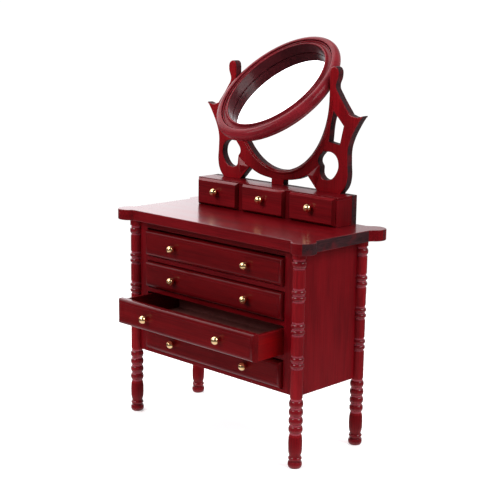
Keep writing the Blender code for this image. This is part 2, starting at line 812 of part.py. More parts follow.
def frame_section():
    """The mirror frame's section: inner lip, cove, bead, round band, back and the glass's seat."""
    outer = MIRROR_HALF_HEIGHT
    inner = outer - MIRROR_FRAME_WIDTH
    seat = inner + GLASS_SEAT_WIDTH
    glass_front = GLASS_THICKNESS + GLASS_BACK_INSET + FIT_GAP - MIRROR_FRAME_BACK
    band_middle = outer - MIRROR_BAND_RADIUS
    points = [(inner, glass_front), (inner, MIRROR_FRAME_FRONT - MIRROR_LIP_DROP)]
    points.append((inner + MIRROR_LIP_WIDTH, MIRROR_FRAME_FRONT))
    points.append((inner + MIRROR_COVE_OUT, MIRROR_FRAME_FRONT - MIRROR_COVE_DROP))
    points.append((inner + MIRROR_BEAD_OUT, MIRROR_FRAME_FRONT - MIRROR_BEAD_DROP))
    for index in range(MIRROR_BAND_STEPS + 1):
        angle = math.radians(90 - MIRROR_BAND_TURN * index / MIRROR_BAND_STEPS)
        out = band_middle + MIRROR_BAND_RADIUS * math.cos(angle)
        height = MIRROR_BAND_RADIUS * math.sin(angle) - MIRROR_BAND_DROP
        points.append((out, height))
    points.append((band_middle, -MIRROR_FRAME_BACK))
    points.append((seat, -MIRROR_FRAME_BACK))
    points.append((seat, glass_front))
    return points


def ring_mesh(name, section):
    """A closed section in the XZ plane, wound so that the turned ring faces outwards."""
    mesh = bpy.data.meshes.new(name)
    shape = bmesh.new()
    verts = [shape.verts.new((out, 0.0, height)) for out, height in section]
    for start, end in zip(verts, verts[1:] + verts[:1]):
        shape.edges.new((start, end))
    shape.to_mesh(mesh)
    shape.free()
    return mesh


def build_mirror(red, glass_material, parent, group, helpers):
    """Frame and glass, on an empty that lies on the pivot and holds the tilt."""
    pivot = add_empty("mirror_pivot", (0.0, PIVOT_Y, PIVOT_Z), parent, group)
    pivot.rotation_euler.x = math.pi / 2 - MIRROR_TILT
    centre = (0.0, -PIVOT_ABOVE_CENTRE, PIVOT_BEHIND_CENTRE)
    frame = add_object(
        "mirror_frame", ring_mesh("mirror_frame", frame_section()), red, pivot, group
    )
    frame.location = centre
    frame.scale.x = MIRROR_WIDTH_SHARE
    add_screw(frame, MIRROR_STEPS)
    for side, sign in (("left", -1), ("right", 1)):
        hole = pin_cutter(f"frame_hole_{side}", sign, parent, helpers)
        cut(frame, hole)
    seat = MIRROR_HALF_HEIGHT - MIRROR_FRAME_WIDTH + GLASS_SEAT_WIDTH
    shape = bmesh.new()
    bmesh.ops.create_cone(
        shape,
        cap_ends=True,
        segments=MIRROR_STEPS,
        radius1=seat - FIT_GAP,
        radius2=seat - FIT_GAP,
        depth=GLASS_THICKNESS,
    )
    bmesh.ops.scale(shape, vec=(MIRROR_WIDTH_SHARE, 1.0, 1.0), verts=shape.verts)
    mesh = bpy.data.meshes.new("mirror_glass")
    shape.to_mesh(mesh)
    shape.free()
    glass = add_object("mirror_glass", mesh, glass_material, pivot, group)
    height = GLASS_BACK_INSET + GLASS_THICKNESS / 2 - MIRROR_FRAME_BACK
    glass.location = Vector(centre) + Vector((0.0, 0.0, height))


def middle_y():
    """The middle, front to back, of the open drawer's knobs and the mirror's upper rim."""
    front = DRAWER_FACE_Y - KNOB_STAND_OFF - KNOB_RADIUS - OPEN_DISTANCE
    reach = []
    for out, height in frame_section():
        up = out - PIVOT_ABOVE_CENTRE
        ahead = height + PIVOT_BEHIND_CENTRE
        reach.append(PIVOT_Y + up * math.sin(MIRROR_TILT) - ahead * math.cos(MIRROR_TILT))
    return (front + max(reach)) / 2


def shade_turned(group):
    for item in group.objects:
        if item.type != "MESH":
            continue
        item.data.shade_smooth()
        item.data.set_sharp_from_angle(angle=math.radians(35))


def main():
    clear_scene()
    group = new_collection("miniature_dressing_table")
    helpers = new_collection("cutters")
    red = principled("red_lacquer", RED, 0.22, coat=0.6)
    inner = principled("dark_inside", DARK_RED, 0.5)
    brass = principled("brass", BRASS, 0.22, metallic=1.0)
    silver = principled("mirror_glass", SILVER, 0.03, metallic=1.0)
    root = add_empty("dressing_table", (0.0, -middle_y(), 0.0), None, group)
    build_posts(red, root, group)
    build_carcass(red, root, group)
    build_table_top(red, root, group)
    knob_mesh = turned_mesh("knob", knob_profile())
    for number in range(1, DRAWERS + 1):
        build_drawer(number, knob_mesh, red, inner, brass, root, group)
    build_case(red, root, group)
    for side, step in (("left", -1), ("middle", 0), ("right", 1)):
        name = f"small_drawer_{side}"
        middle = step * POCKET_PITCH
        build_small_drawer(name, middle, knob_mesh, red, brass, root, group, helpers)
    build_harp(red, root, group, helpers)
    build_pins(brass, root, group)
    build_mirror(red, silver, root, group, helpers)
    shade_turned(group)


main()
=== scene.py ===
# %% [markdown]
# # A miniature dressing table
# The real one is dolls' house furniture: a chest of four drawers between turned posts, a low
# case of three small drawers on its top, and an oval mirror that swings in a fretsawn harp.
# It is stained deep red and lacquered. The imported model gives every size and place, and this
# lesson dresses it: each box, rod and ring becomes the eased, moulded or turned piece that a
# maker would fit there, and each gets the finish that shows on it.

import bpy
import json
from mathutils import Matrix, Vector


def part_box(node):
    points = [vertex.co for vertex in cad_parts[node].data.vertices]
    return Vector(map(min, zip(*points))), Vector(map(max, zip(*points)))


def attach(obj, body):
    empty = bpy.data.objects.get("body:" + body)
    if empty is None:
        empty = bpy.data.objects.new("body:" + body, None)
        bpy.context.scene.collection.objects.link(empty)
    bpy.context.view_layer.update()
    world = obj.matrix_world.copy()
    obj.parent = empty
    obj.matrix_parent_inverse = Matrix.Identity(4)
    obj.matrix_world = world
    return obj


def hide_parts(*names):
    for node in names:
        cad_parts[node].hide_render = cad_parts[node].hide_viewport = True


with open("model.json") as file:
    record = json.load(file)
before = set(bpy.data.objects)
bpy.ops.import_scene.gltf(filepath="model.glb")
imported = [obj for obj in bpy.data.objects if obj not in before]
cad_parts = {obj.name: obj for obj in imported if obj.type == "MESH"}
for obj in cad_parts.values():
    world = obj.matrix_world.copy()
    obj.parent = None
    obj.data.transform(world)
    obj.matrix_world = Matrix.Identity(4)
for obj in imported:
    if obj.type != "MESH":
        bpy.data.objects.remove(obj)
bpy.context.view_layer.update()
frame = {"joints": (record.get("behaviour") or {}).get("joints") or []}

# %% Modules and small sizes that many pieces share
import json
import math

import bmesh
import bpy
from mathutils import Matrix, Vector

MM = 0.001
GLUE_GAP = 0.3 * MM
EASE = 0.16 * MM
HAIR = 0.01 * MM
WELD = 0.0005 * MM
SMOOTH_UNDER = math.radians(38)
ORIGIN = Vector((0.0, 0.0, 0.0))
UP = Vector((0.0, 0.0, 1.0))
INWARD = Vector((0.0, 1.0, 0.0))
SIDES = (("left", -1), ("right", 1))
X, Y, Z = range(3)
print("edges are eased by", EASE / MM, "mm")

# %% [markdown]
# ## Shader maths as arithmetic
# A node tree is easiest to read when its sums look like sums. The class below holds one output
# socket. Adding or multiplying it by a number or by another output adds a Math node, and any
# other node comes from its one method, which sets the node's settings first and then its
# sockets.

# %% A socket that can be added and multiplied
class Wire:
    """One output socket of a node tree."""

    def __init__(self, tree, socket=None):
        self.tree = tree
        self.socket = socket

    def node(self, kind, settings=None, values=None, output=0):
        """Add a node, and return one of its outputs."""
        made = self.tree.nodes.new(kind)
        for key, value in (settings or {}).items():
            if key == "stops":
                for place, (position, colour) in enumerate(value):
                    stops = made.color_ramp.elements
                    stop = stops[place] if place < 2 else stops.new(position)
                    stop.position = position
                    stop.color = colour
            else:
                setattr(made, key, value)
        for key, value in (values or {}).items():
            if isinstance(value, Wire):
                self.tree.links.new(value.socket, made.inputs[key])
            else:
                made.inputs[key].default_value = value
        return Wire(self.tree, made.outputs[output])

    def maths(self, operation, first, second=0.0, clamp=False):
        settings = {"operation": operation, "use_clamp": clamp}
        return self.node("ShaderNodeMath", settings, {0: first, 1: second})

    def __add__(self, other):
        return self.maths("ADD", self, other)

    def __sub__(self, other):
        return self.maths("SUBTRACT", self, other)

    def __rsub__(self, other):
        return self.maths("SUBTRACT", other, self)

    def __mul__(self, other):
        return self.maths("MULTIPLY", self, other)

    __radd__ = __add__
    __rmul__ = __mul__

    def clamped(self):
        return self.maths("ADD", self, 0.0, clamp=True)

    def step(self, low, high):
        """0 below low, 1 above high, and smooth between."""
        values = {"Value": self, "From Min": low, "From Max": high}
        return self.node("ShaderNodeMapRange", {"interpolation_type": "SMOOTHSTEP"}, values)

    def dot(self, other):
        """1 where two directions agree, and 0 where they are square to each other."""
        settings = {"operation": "DOT_PRODUCT"}
        return self.node("ShaderNodeVectorMath", settings, {0: self, 1: other}, "Value")

    def mix(self, first, second):
        """Mix two colours, with this output as the share of the second."""
        settings = {"data_type": "RGBA"}
        return self.node("ShaderNodeMix", settings, {0: self, 6: first, 7: second}, 2)


print("shader helper ready")

# %% [markdown]
# ## Patterns every wooden finish uses
# Wood shows long fine fibres and slow clouds where the stain took unevenly. Its edges carry a
# thinner coat and are painted lighter, mostly as a highlight and partly as rubbed wear, and its
# crevices are painted darker as shade. The fibres and clouds are noise on Object coordinates,
# so they stay put when a drawer slides or the mirror swings, because each piece's object keeps
# its own frame. The edges and crevices are read off the shape itself, by the Bevel and Ambient
# Occlusion nodes.

# %% Noise, grain and edge masks
def colour(red, green, blue):
    return (red, green, blue, 1.0)


def start_material(name, fixed=None):
    """A material, its Principled shader with its fixed values, and a Wire to add nodes with."""
    material = bpy.data.materials.new(name)
    material.use_nodes = True
    shader = material.node_tree.nodes["Principled BSDF"]
    for key, value in (fixed or {}).items():
        shader.inputs[key].default_value = value
    return material, shader, Wire(material.node_tree)


def noise(wire, spacing, detail=3.0, roughness=0.55, offset=ORIGIN):
    """Noise whose grains are about spacing wide, one number or one for each axis, in metres."""
    sizes = spacing if isinstance(spacing, tuple) else (spacing, spacing, spacing)
    place = wire.node("ShaderNodeTexCoord", output="Object")
    scale = tuple(1.0 / size for size in sizes)
    moves = {"Vector": place, "Scale": scale, "Location": offset}
    mapped = wire.node("ShaderNodeMapping", {}, moves)
    values = {"Vector": mapped, "Scale": 1.0, "Detail": detail, "Roughness": roughness}
    return wire.node("ShaderNodeTexNoise", {}, values, "Fac")


def edge_mask(wire, radius):
    """1 along the corners of a piece and 0 on its flats."""
    rounded = wire.node("ShaderNodeBevel", {"samples": 6}, {"Radius": radius})
    normal = wire.node("ShaderNodeNewGeometry", output="Normal")
    return (1.0 - rounded.dot(normal)).step(0.02, 0.22)


def painted_shade_mask(wire, depth):
    """1 in a piece's own grooves and inner corners, where shade is painted, and 0 in the open."""
    settings = {"samples": 8, "only_local": True}
    openness = wire.node("ShaderNodeAmbientOcclusion", settings, {"Distance": depth}, "AO")
    return (1.0 - openness).step(0.15, 0.60)


def grain(wire, along, length, width, detail, roughness, offset=ORIGIN):
    """Noise drawn out along one axis, as fibres and saw marks are."""
    sizes = tuple(length if axis == along else width for axis in (X, Y, Z))
    return noise(wire, sizes, detail, roughness, offset)


def link(source, shader, name):
    source.tree.links.new(source.socket, shader.inputs[name])


def raise_grain(height, shader, strength, distance):
    """Let a pattern stand a little proud of the surface."""
    values = {"Height": height, "Strength": strength, "Distance": distance}
    link(height.node("ShaderNodeBump", {}, values), shader, "Normal")


print("patterns ready")

# %% [markdown]
# ## Red lacquer
# The wood is stained deep red and sprayed with clear gloss, which is two layers on the real
# thing and two in the shader: a coloured base with a soft sheen, under a coat with a sharp
# reflection. The coat's index is low, as thin spray over wood mirrors weakly when seen
# straight on and strongly along the surface. The fibres run one way on each board, so the
# recipe takes the axis of the grain. It also takes the shades and the coat, and the finish is
# lighter on the turned and thin pieces than on the drawer fronts. Some shades are painted
# light: the drawer fronts are darker as painted shade, and the post fillets and the mirror
# frame paler as a painted sheen.

# %% Mix the lacquer
LACQUER_DARK = colour(0.062, 0.0010, 0.0025)
LACQUER_LIGHT = colour(0.175, 0.0030, 0.0060)
LIT_AND_RUBBED_EDGE = colour(0.45, 0.060, 0.085)
CREVICE_SHADE = colour(0.022, 0.0025, 0.0045)
CREVICE_DEPTH = 0.7 * MM
CREVICE_SHADE_SHARE = 0.8
LIT_EDGE_WIDTH = 0.22 * MM
FIBRE_WIDTH = 0.34 * MM
FIBRE_LENGTH = 12.0 * MM
CLOUD_WIDTH = 5.0 * MM
CLOUD_LENGTH = 30.0 * MM
SPECK_WIDTH = 0.5 * MM
FIBRE_STAIN = 0.40
CLOUD_STAIN = 0.42
LEAST_STAIN = 0.09


def lacquer(name, along, dark, light, lit_edge_share=0.42, coat=0.9, gloss=0.06, coat_index=1.23):
    """Stained and lacquered wood, its fibres along axis number along."""
    fixed = {"Specular IOR Level": 0.03, "Coat IOR": coat_index, "Coat Roughness": gloss}
    material, shader, wire = start_material(name, fixed)
    fibres = grain(wire, along, FIBRE_LENGTH, FIBRE_WIDTH, 4.0, 0.6)
    clouds = grain(wire, along, CLOUD_LENGTH, CLOUD_WIDTH, 2.0, 0.5, (3.1, 7.7, 1.9))
    specks = noise(wire, SPECK_WIDTH, 2.0, 0.7)
    depth = fibres.step(0.28, 0.72) * FIBRE_STAIN + clouds.step(0.25, 0.75) * CLOUD_STAIN
    stained = (depth + LEAST_STAIN).mix(dark, light)
    # Edges are painted lighter, mostly as a highlight and partly as rubbed wear
    edges = edge_mask(wire, LIT_EDGE_WIDTH)
    # Grooves and inner corners are painted darker as shade
    crevice_shaded = (painted_shade_mask(wire, CREVICE_DEPTH) * CREVICE_SHADE_SHARE).mix(stained, CREVICE_SHADE)
    lit_and_rubbed = edges * (specks.step(0.30, 0.62) * 0.5 + 0.5) * lit_edge_share
    link(lit_and_rubbed.mix(crevice_shaded, LIT_AND_RUBBED_EDGE), shader, "Base Color")
    link(fibres * 0.10 + clouds * 0.12 + 0.26, shader, "Roughness")
    thinned = 1.0 - specks.step(0.66, 0.80) * 0.5 - edges * 0.2
    link(thinned - (1.0 - coat), shader, "Coat Weight")
    raise_grain(fibres * 0.7 + specks * 0.3, shader, 0.22, 0.05 * MM)
    return material


plain_stain = (LACQUER_DARK, LACQUER_LIGHT)
lacquer_x = lacquer("red_lacquer_along_x", X, *plain_stain)
lacquer_z = lacquer("red_lacquer_along_z", Z, *plain_stain)
lacquer_top = lacquer("red_lacquer_top", X, *plain_stain, gloss=0.18)
lacquer_case_top = lacquer("red_lacquer_case_top", X, *plain_stain, coat=0.3)
print("lacquers for boards:", lacquer_x.name, lacquer_z.name, lacquer_top.name)

# %% Mix its other shades
TURNED_DARK = (0.075, 0.0018, 0.0036)
TURNED_LIGHT = (0.250, 0.0070, 0.0110)
# Each one: the grain's axis, the darkest and lightest shade, the share of lit and rubbed edge,
# and the coat, its gloss and its index where they differ
SHADES = {
    # Darker as painted shade, for front faces that catch less light
    "fronts": (X, (0.050, 0.0008, 0.0018), (0.140, 0.0018, 0.0036), 0.2),
    "turned": (Z, TURNED_DARK, TURNED_LIGHT, 0.55),
    "small_fronts": (X, TURNED_DARK, TURNED_LIGHT, 0.3),
    "bright": (Y, TURNED_DARK, (0.190, 0.0015, 0.0015), 0.4),
    "harp": (Z, (0.115, 0.0022, 0.0042), (0.305, 0.0060, 0.0105), 0.7),
    # Paler and pinker as a painted sheen on the post fillets
    "thin": (Z, (0.190, 0.0220, 0.0320), (0.320, 0.0580, 0.0760), 0.0, 0.5),
    "beads": (Z, (0.075, 0.0018, 0.0042), (0.200, 0.0050, 0.0095), 0.15, 1.0, 0.03, 1.38),
    # The frame paler and pinker as a painted sheen, its inner wall and back darker as painted shade
    "ring": (X, (0.095, 0.0050, 0.0085), (0.255, 0.0160, 0.0240), 0.6, 0.35, 0.08),
    "shaded": (X, (0.030, 0.0040, 0.0060), (0.095, 0.0120, 0.0160), 0.3, 0.4, 0.2),
}
lacquers = {
    name: lacquer(f"red_lacquer_{name}", along, colour(*dark), colour(*light), *rest)
    for name, (along, dark, light, *rest) in SHADES.items()
}
print("lacquers for other pieces:", list(lacquers))

# %% [markdown]
# ## Sawn edges, bare insides, brass and glass
# End grain and fretsawn edges drink the stain and dry almost black, with grey-brown streaks
# that follow the saw. Inside a drawer the wood was only wiped with stain. The knobs and pins
# are polished brass, and the pane is silvered glass with a card behind it. Each is one noise
# or two, shared by its colour, its roughness and its bump, so that they agree.

# %% Mix the other finishes
def sawn_edge(along):
    """Near black, with dull streaks along axis number along."""
    material, shader, wire = start_material("sawn_edge", {"Specular IOR Level": 0.12})
    streaks = grain(wire, along, 5.0 * MM, 0.22 * MM, 3.0, 0.65)
    clouds = noise(wire, 4.0 * MM, 2.0)
    base = streaks.step(0.30, 0.72).mix(colour(0.012, 0.0035, 0.0045), colour(0.048, 0.013, 0.016))
    reddened = clouds.step(0.46, 0.72).mix(base, colour(0.075, 0.0060, 0.0090))
    # The arrises are painted paler, as a highlight
    edges = edge_mask(wire, 0.20 * MM)
    link((edges * 0.45).mix(reddened, colour(0.16, 0.030, 0.040)), shader, "Base Color")
    link(streaks * 0.22 + 0.48, shader, "Roughness")
    raise_grain(streaks, shader, 0.45, 0.08 * MM)
    return material


def wiped_wood():
    """The inside of a drawer: thin stain over plain wood."""
    material, shader, wire = start_material("plain_inside", {"Specular IOR Level": 0.3})
    fibres = grain(wire, X, 8.0 * MM, 0.25 * MM, 4.0, 0.6)
    clouds = noise(wire, 6.0 * MM, 2.0)
    share = (fibres * 0.6 + clouds * 0.5 - 0.1).clamped()
    stained = share.mix(colour(0.150, 0.0300, 0.0300), colour(0.380, 0.120, 0.105))
    link(stained, shader, "Base Color")
    link(fibres * 0.2 + 0.45, shader, "Roughness")
    raise_grain(fibres, shader, 0.3, 0.06 * MM)
    return material


def polished_brass():
    """Turned brass with fine scuffs and a little tarnish."""
    material, shader, wire = start_material("brass", {"Metallic": 1.0})
    tarnish = noise(wire, 0.9 * MM, 3.0)
    scuffs = noise(wire, 0.12 * MM, 2.0)
    dulled = tarnish.step(0.35, 0.75).mix(colour(0.96, 0.69, 0.36), colour(0.84, 0.52, 0.24))
    link(dulled, shader, "Base Color")
    link(tarnish * 0.10 + scuffs * 0.06 + 0.09, shader, "Roughness")
    raise_grain(scuffs, shader, 0.08, 0.02 * MM)
    return material


def silvered_glass():
    """Mirror glass with the faintest haze."""
    material, shader, wire = start_material("mirror_glass", {"Metallic": 1.0})
    haze = noise(wire, 3.0 * MM, 3.0)
    hazed = haze.mix(colour(0.93, 0.94, 0.94), colour(0.89, 0.91, 0.92))
    link(hazed, shader, "Base Color")
    link(haze * 0.02 + 0.005, shader, "Roughness")
    return material


def backing_card():
    """The dull brown card that holds the pane in its frame."""
    material, shader, wire = start_material("mirror_backing")
    fibres = noise(wire, 0.35 * MM, 4.0, 0.7)
    browned = fibres.mix(colour(0.030, 0.012, 0.011), colour(0.075, 0.034, 0.027))
    link(browned, shader, "Base Color")
    link(fibres * 0.15 + 0.7, shader, "Roughness")
    raise_grain(fibres, shader, 0.4, 0.05 * MM)
    return material


sawn = sawn_edge(Y)
inside = wiped_wood()
brass = polished_brass()
silver = silvered_glass()
card = backing_card()
print("other finishes:", [finish.name for finish in (sawn, inside, brass, silver, card)])

# %% [markdown]
# ## Turning a bmesh into a finished piece
# Every piece ends the same way: its faces point out, its soft curves are shaded smooth and its
# arrises stay crisp, it rides on its body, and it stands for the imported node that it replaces.
# The Weighted Normal modifier keeps a board's flats flat right up to their eased edges.

# %% Finish a piece
OTHER = 1
made_pieces = []


def place_object(name, data):
    """A new object in the scene, at the origin and unturned."""
    made = bpy.data.objects.new(name, data)
    bpy.context.scene.collection.objects.link(made)
    return made


def finish_piece(shape, name, body, slot, finishes, *stands_for):
    """A piece in its finishes, of which faces numbered OTHER take the second."""
    mesh = bpy.data.meshes.new(name)
    bmesh.ops.recalc_face_normals(shape, faces=shape.faces)
    shape.to_mesh(mesh)
    shape.free()
    for finish in finishes:
        mesh.materials.append(finish)
    mesh.shade_smooth()
    mesh.set_sharp_from_angle(angle=SMOOTH_UNDER)
    piece = place_object(name, mesh)
    weighted = piece.modifiers.new("Flat faces", "WEIGHTED_NORMAL")
    weighted.keep_sharp = True
    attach(piece, body)
    if stands_for:
        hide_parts(*stands_for)
    made_pieces.append(piece)
    return piece


def ease(shape, edges, width, segments=2):
    bmesh.ops.bevel(
        shape,
        geom=edges,
        offset=width,
        segments=segments,
        profile=0.5,
        affect="EDGES",
        material=-1,
    )


def verts_of(items):
    return [item for item in items if isinstance(item, bmesh.types.BMVert)]


def level_edges(shape, axis):
    """The edges that run square to an axis."""
    ends = [(edge, *edge.verts) for edge in shape.edges]
    return [edge for edge, one, two in ends if abs(one.co[axis] - two.co[axis]) < HAIR]


print("finishing steps ready")

# %% [markdown]
# ## Boards of the chest
# A board is sawn, planed and its arrises are rubbed down with paper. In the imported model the
# boards keep a small gap to each other, while the real ones are glued, so each is drawn out by
# most of that gap where it meets its neighbour. The top rail reaches lower, to just above the
# first drawer, and the guides stop a little short of the drawers that slide past them.
# A cube with eased edges is enough: its rubbed corners and its grain tell a board from a box.

# %% A box, and a board made from it
def block(low, high):
    """A bmesh box between two corners."""
    shape = bmesh.new()
    size = Vector(high) - Vector(low)
    place = Matrix.Translation((Vector(low) + Vector(high)) / 2) @ Matrix.Diagonal((*size, 1.0))
    bmesh.ops.create_cube(shape, size=1.0, matrix=place)
    return shape


def board(name, body, finish, reach_low, reach_high, width=EASE, slot="red_lacquer"):
    """A board in place of a packed one, reaching further by so many glue gaps at each side."""
    low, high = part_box(name)
    low = low - Vector(reach_low) * GLUE_GAP
    high = high + Vector(reach_high) * GLUE_GAP
    shape = block(low, high)
    ease(shape, list(shape.edges), width)
    return finish_piece(shape, f"{name}_board", body, slot, [finish], name)


print("a glue gap is", GLUE_GAP / MM, "mm")

# %% Cut the boards of the chest
# How far boards are drawn out, in glue gaps
SNUG = 0.9
TIGHT = 0.95
DRAWER_CLEAR = 0.85
POST_SINK = 8
RAIL_DROP = 3.3
for side, sign in SIDES:
    board(f"side_panel_{side}", "root", lacquer_z, (0, POST_SINK, 0), (0, POST_SINK, SNUG))
    left, right = (DRAWER_CLEAR, SNUG) if sign > 0 else (SNUG, DRAWER_CLEAR)
    board(f"drawer_guide_{side}", "root", lacquer_z, (left, 0, 0), (right, 1, SNUG))
for name in ("shelf_1", "shelf_2", "shelf_3", "bottom_board"):
    board(name, "root", lacquer_x, (TIGHT, 0, 0), (TIGHT, SNUG, 0))
# The top rail takes the fronts' darker finish, which is painted shade
board("top_rail", "root", lacquers["fronts"], (TIGHT, 0, RAIL_DROP), (TIGHT, 0, SNUG))
board("back_panel", "root", lacquer_x, (1, 0, 0), (1, 0, SNUG))
print("boards cut:", len(made_pieces))

# %% [markdown]
# ## Turned posts
# Each post was turned in one go on a lathe, and a lathe is what the spin operator is: half the
# outline, carried once round the axis. The outline is built from the floor up with the moves
# that a turner makes: a straight run, a round bead and a narrow flat fillet between beads. The
# beads are darker, and the fillets paler as a painted sheen, so each face takes its finish
# from the part of the outline that it was spun from.

# %% Turner's moves
class Outline:
    """Half the outline of a turned piece, from the bottom up: (radius, height) pairs."""

    def __init__(self):
        self.points = [(0.0, 0.0)]
        self.beads = []

    def height(self):
        return self.points[-1][1]

    def to(self, radius, height):
        self.points.append((radius, height))

    def up(self, radius, rise):
        self.to(radius, self.height() + rise)

    def bead(self, radius, rise, bulge, steps=9):
        """A round bead: it starts and ends at this radius and swells by bulge half way up."""
        start = self.height()
        self.beads.append((start, start + rise))
        for step in range(1, steps + 1):
            turn = math.pi * step / steps
            self.to(radius + bulge * math.sin(turn), start + rise * (1 - math.cos(turn)) / 2)


print("turner's moves ready")

# %% The lathe
def spin(shape, items, turn, steps, axis=UP, centre=ORIGIN):
    """Carry vertices and edges round an axis, and return the vertices where they end."""
    swept = bmesh.ops.spin(
        shape,
        geom=items,
        cent=centre,
        axis=axis,
        angle=turn,
        steps=steps,
        use_merge=turn == math.tau,
        use_duplicate=False,
    )
    return verts_of(swept["geom_last"])


def spin_round(points, steps, axis, closed=False):
    """Spin a line of points, or a closed outline, once round an axis through the origin."""
    shape = bmesh.new()
    verts = [shape.verts.new(point) for point in points]
    ends = verts[1:] + verts[:1] if closed else verts[1:]
    edges = [shape.edges.new(pair) for pair in zip(verts, ends)]
    spin(shape, verts + edges, math.tau, steps, axis)
    bmesh.ops.remove_doubles(shape, verts=shape.verts, dist=WELD)
    return shape


def turned(points, steps, axis, centre):
    """Turn an outline, and point it along an axis through centre."""
    shape = spin_round([(radius, 0.0, height) for radius, height in points], steps, UP)
    turn = UP.rotation_difference(Vector(axis)).to_matrix().to_4x4()
    bmesh.ops.transform(shape, matrix=Matrix.Translation(centre) @ turn, verts=shape.verts)
    return shape


print("lathe ready")

# %% Outline of a post
POST_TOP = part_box("post_front_left")[1].z
LEG_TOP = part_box("side_panel_left")[0].z
CORE = 1.90 * MM
SHAFT = 2.10 * MM
SWELL = 2.27 * MM
FILLET = 0.52 * MM
FILLET_STEP = 0.05 * MM
BEAD = 1.45 * MM
BEAD_BULGE = 0.44 * MM
# The foot from the floor up, as radius and height in millimetres
FOOT = ((1.75, 0.0), (1.98, 0.10), (2.22, 0.42), (2.34, 0.95), (2.34, 1.55), (2.24, 2.15))
FOOT_NECK = 2.00 * MM
FOOT_TOP = 2.7 * MM
ANKLE_TOP = 4.3 * MM
ANKLE_BULGE = 0.34 * MM
BARREL_LIP = 0.03 * MM
BARREL_TOP = 11.35 * MM
BARREL_STEPS = 10
BARREL_FULLNESS = 0.45
LEG_BEAD_COUNT = 4
LEG_BEAD_BULGE = 0.43 * MM
LEG_BEADS_UNDER_CASE = 0.95 * MM
PAIR_PITCH = 10.95 * MM
PAIR_LOWS = [33.4 * MM + PAIR_PITCH * index for index in range(3)]
CAPITAL_LOW = 66.05 * MM
CAPITAL_BEAD = 2.1 * MM


def fillet(line):
    """A narrow flat ring between two beads."""
    line.up(CORE, FILLET_STEP)
    line.up(CORE, FILLET)


def bead_pair(line, low):
    """Two beads between three fillets, with the shaft cut in a little below them."""
    line.to(SHAFT, low - 0.5 * MM)
    line.to(SHAFT - 0.05 * MM, low - 0.25 * MM)
    for _ in range(2):
        fillet(line)
        line.bead(CORE, BEAD, BEAD_BULGE)
    fillet(line)
    line.up(SHAFT, 0.25 * MM)


def leg(line):
    """The foot, a small bead, the barrel and the stack of beads under the case."""
    for radius, height in FOOT:
        line.to(radius * MM, height * MM)
    line.to(FOOT_NECK, FOOT_TOP - FILLET)
    fillet(line)
    line.bead(CORE, ANKLE_TOP - FILLET - line.height(), ANKLE_BULGE)
    fillet(line)
    low = line.height()
    for step in range(1, BARREL_STEPS):
        share = step / BARREL_STEPS
        swelling = (SWELL - CORE) * math.sin(math.pi * share) ** BARREL_FULLNESS
        line.to(CORE + BARREL_LIP + swelling, low + (BARREL_TOP - low) * share)
    line.to(CORE, BARREL_TOP)
    pitch = (LEG_TOP - LEG_BEADS_UNDER_CASE - BARREL_TOP) / LEG_BEAD_COUNT
    for _ in range(LEG_BEAD_COUNT):
        fillet(line)
        line.bead(CORE, pitch - FILLET - FILLET_STEP, LEG_BEAD_BULGE)
    fillet(line)
    line.up(SHAFT, 0.5 * MM)


def capital(line):
    """One tall bead and a plain block under the table top."""
    line.to(SHAFT, CAPITAL_LOW - 0.35 * MM)
    fillet(line)
    line.bead(CORE, CAPITAL_BEAD, BEAD_BULGE)
    fillet(line)
    line.up(SWELL, 0.3 * MM)
    line.to(SWELL, POST_TOP + GLUE_GAP)
    line.to(0.0, POST_TOP + GLUE_GAP)


outline = Outline()
leg(outline)
for low in PAIR_LOWS:
    bead_pair(outline, low)
capital(outline)
print("post outline has", len(outline.points), "points, and is", round(POST_TOP / MM, 2), "mm tall")

# %% Turn the four posts
POST_STEPS = 56
# The fillets take a paler finish as a painted sheen, and the beads a darker one
POST_FINISHES = [lacquers["turned"], lacquers["thin"], lacquers["beads"], lacquer_z]
SHAFT_FACE, FILLET_FACE, BEAD_FACE, BARREL_FACE = range(4)


def post_face(reach, normal):
    """Which finish a face takes, from its place measured from the foot of the post."""
    if reach.z < FOOT_TOP or any(low < reach.z < high for low, high in outline.beads):
        return BEAD_FACE
    if reach.z < BARREL_TOP - FILLET:
        return BARREL_FACE
    on_core = math.hypot(reach.x, reach.y) < CORE + 0.02 * MM and abs(normal.z) < 0.2
    return FILLET_FACE if on_core else SHAFT_FACE


for depth in ("front", "back"):
    for side, _ in SIDES:
        node = f"post_{depth}_{side}"
        low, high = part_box(node)
        centre = Vector(((low.x + high.x) / 2, (low.y + high.y) / 2, 0.0))
        post = turned(outline.points, POST_STEPS, UP, centre)
        for face in post.faces:
            reach = face.calc_center_median() - centre
            face.material_index = post_face(reach, face.normal)
        finish_piece(post, f"turned_{node}", "root", "red_lacquer", POST_FINISHES, node)
print("posts turned, pieces so far:", len(made_pieces))

# %% [markdown]
# ## Table top
# The top is one board with an ear at each corner, cut on a jigsaw. Its outline is drawn with
# two pens: a straight pull, which extrudes a point, and an arc, which spins a point round a
# centre. A quarter at the front and one at the back are enough, because the mirror operator
# makes the left half. Its sawn ends are darker than its face.

# %% Draw the top's outline
TOP_LOW, TOP_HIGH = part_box("table_top")
EAR_RADIUS = 4.15 * MM
EAR_REACH = 2.4 * MM
EAR_STEPS = 20
COVE_STEPS = 7
COVES = {"front": 0.8 * MM, "back": 2.6 * MM}
TOP_EASE = 0.28 * MM


def pull(shape, start, place):
    """Extrude a point in a straight line to place."""
    end = bmesh.ops.extrude_vert_indiv(shape, verts=[start])["verts"][0]
    end.co = place
    return end


def swing(shape, start, centre, degrees, steps):
    """Spin a point round a centre, leaving an arc of edges behind it."""
    return spin(shape, [start], math.radians(degrees), steps, UP, centre)[0]


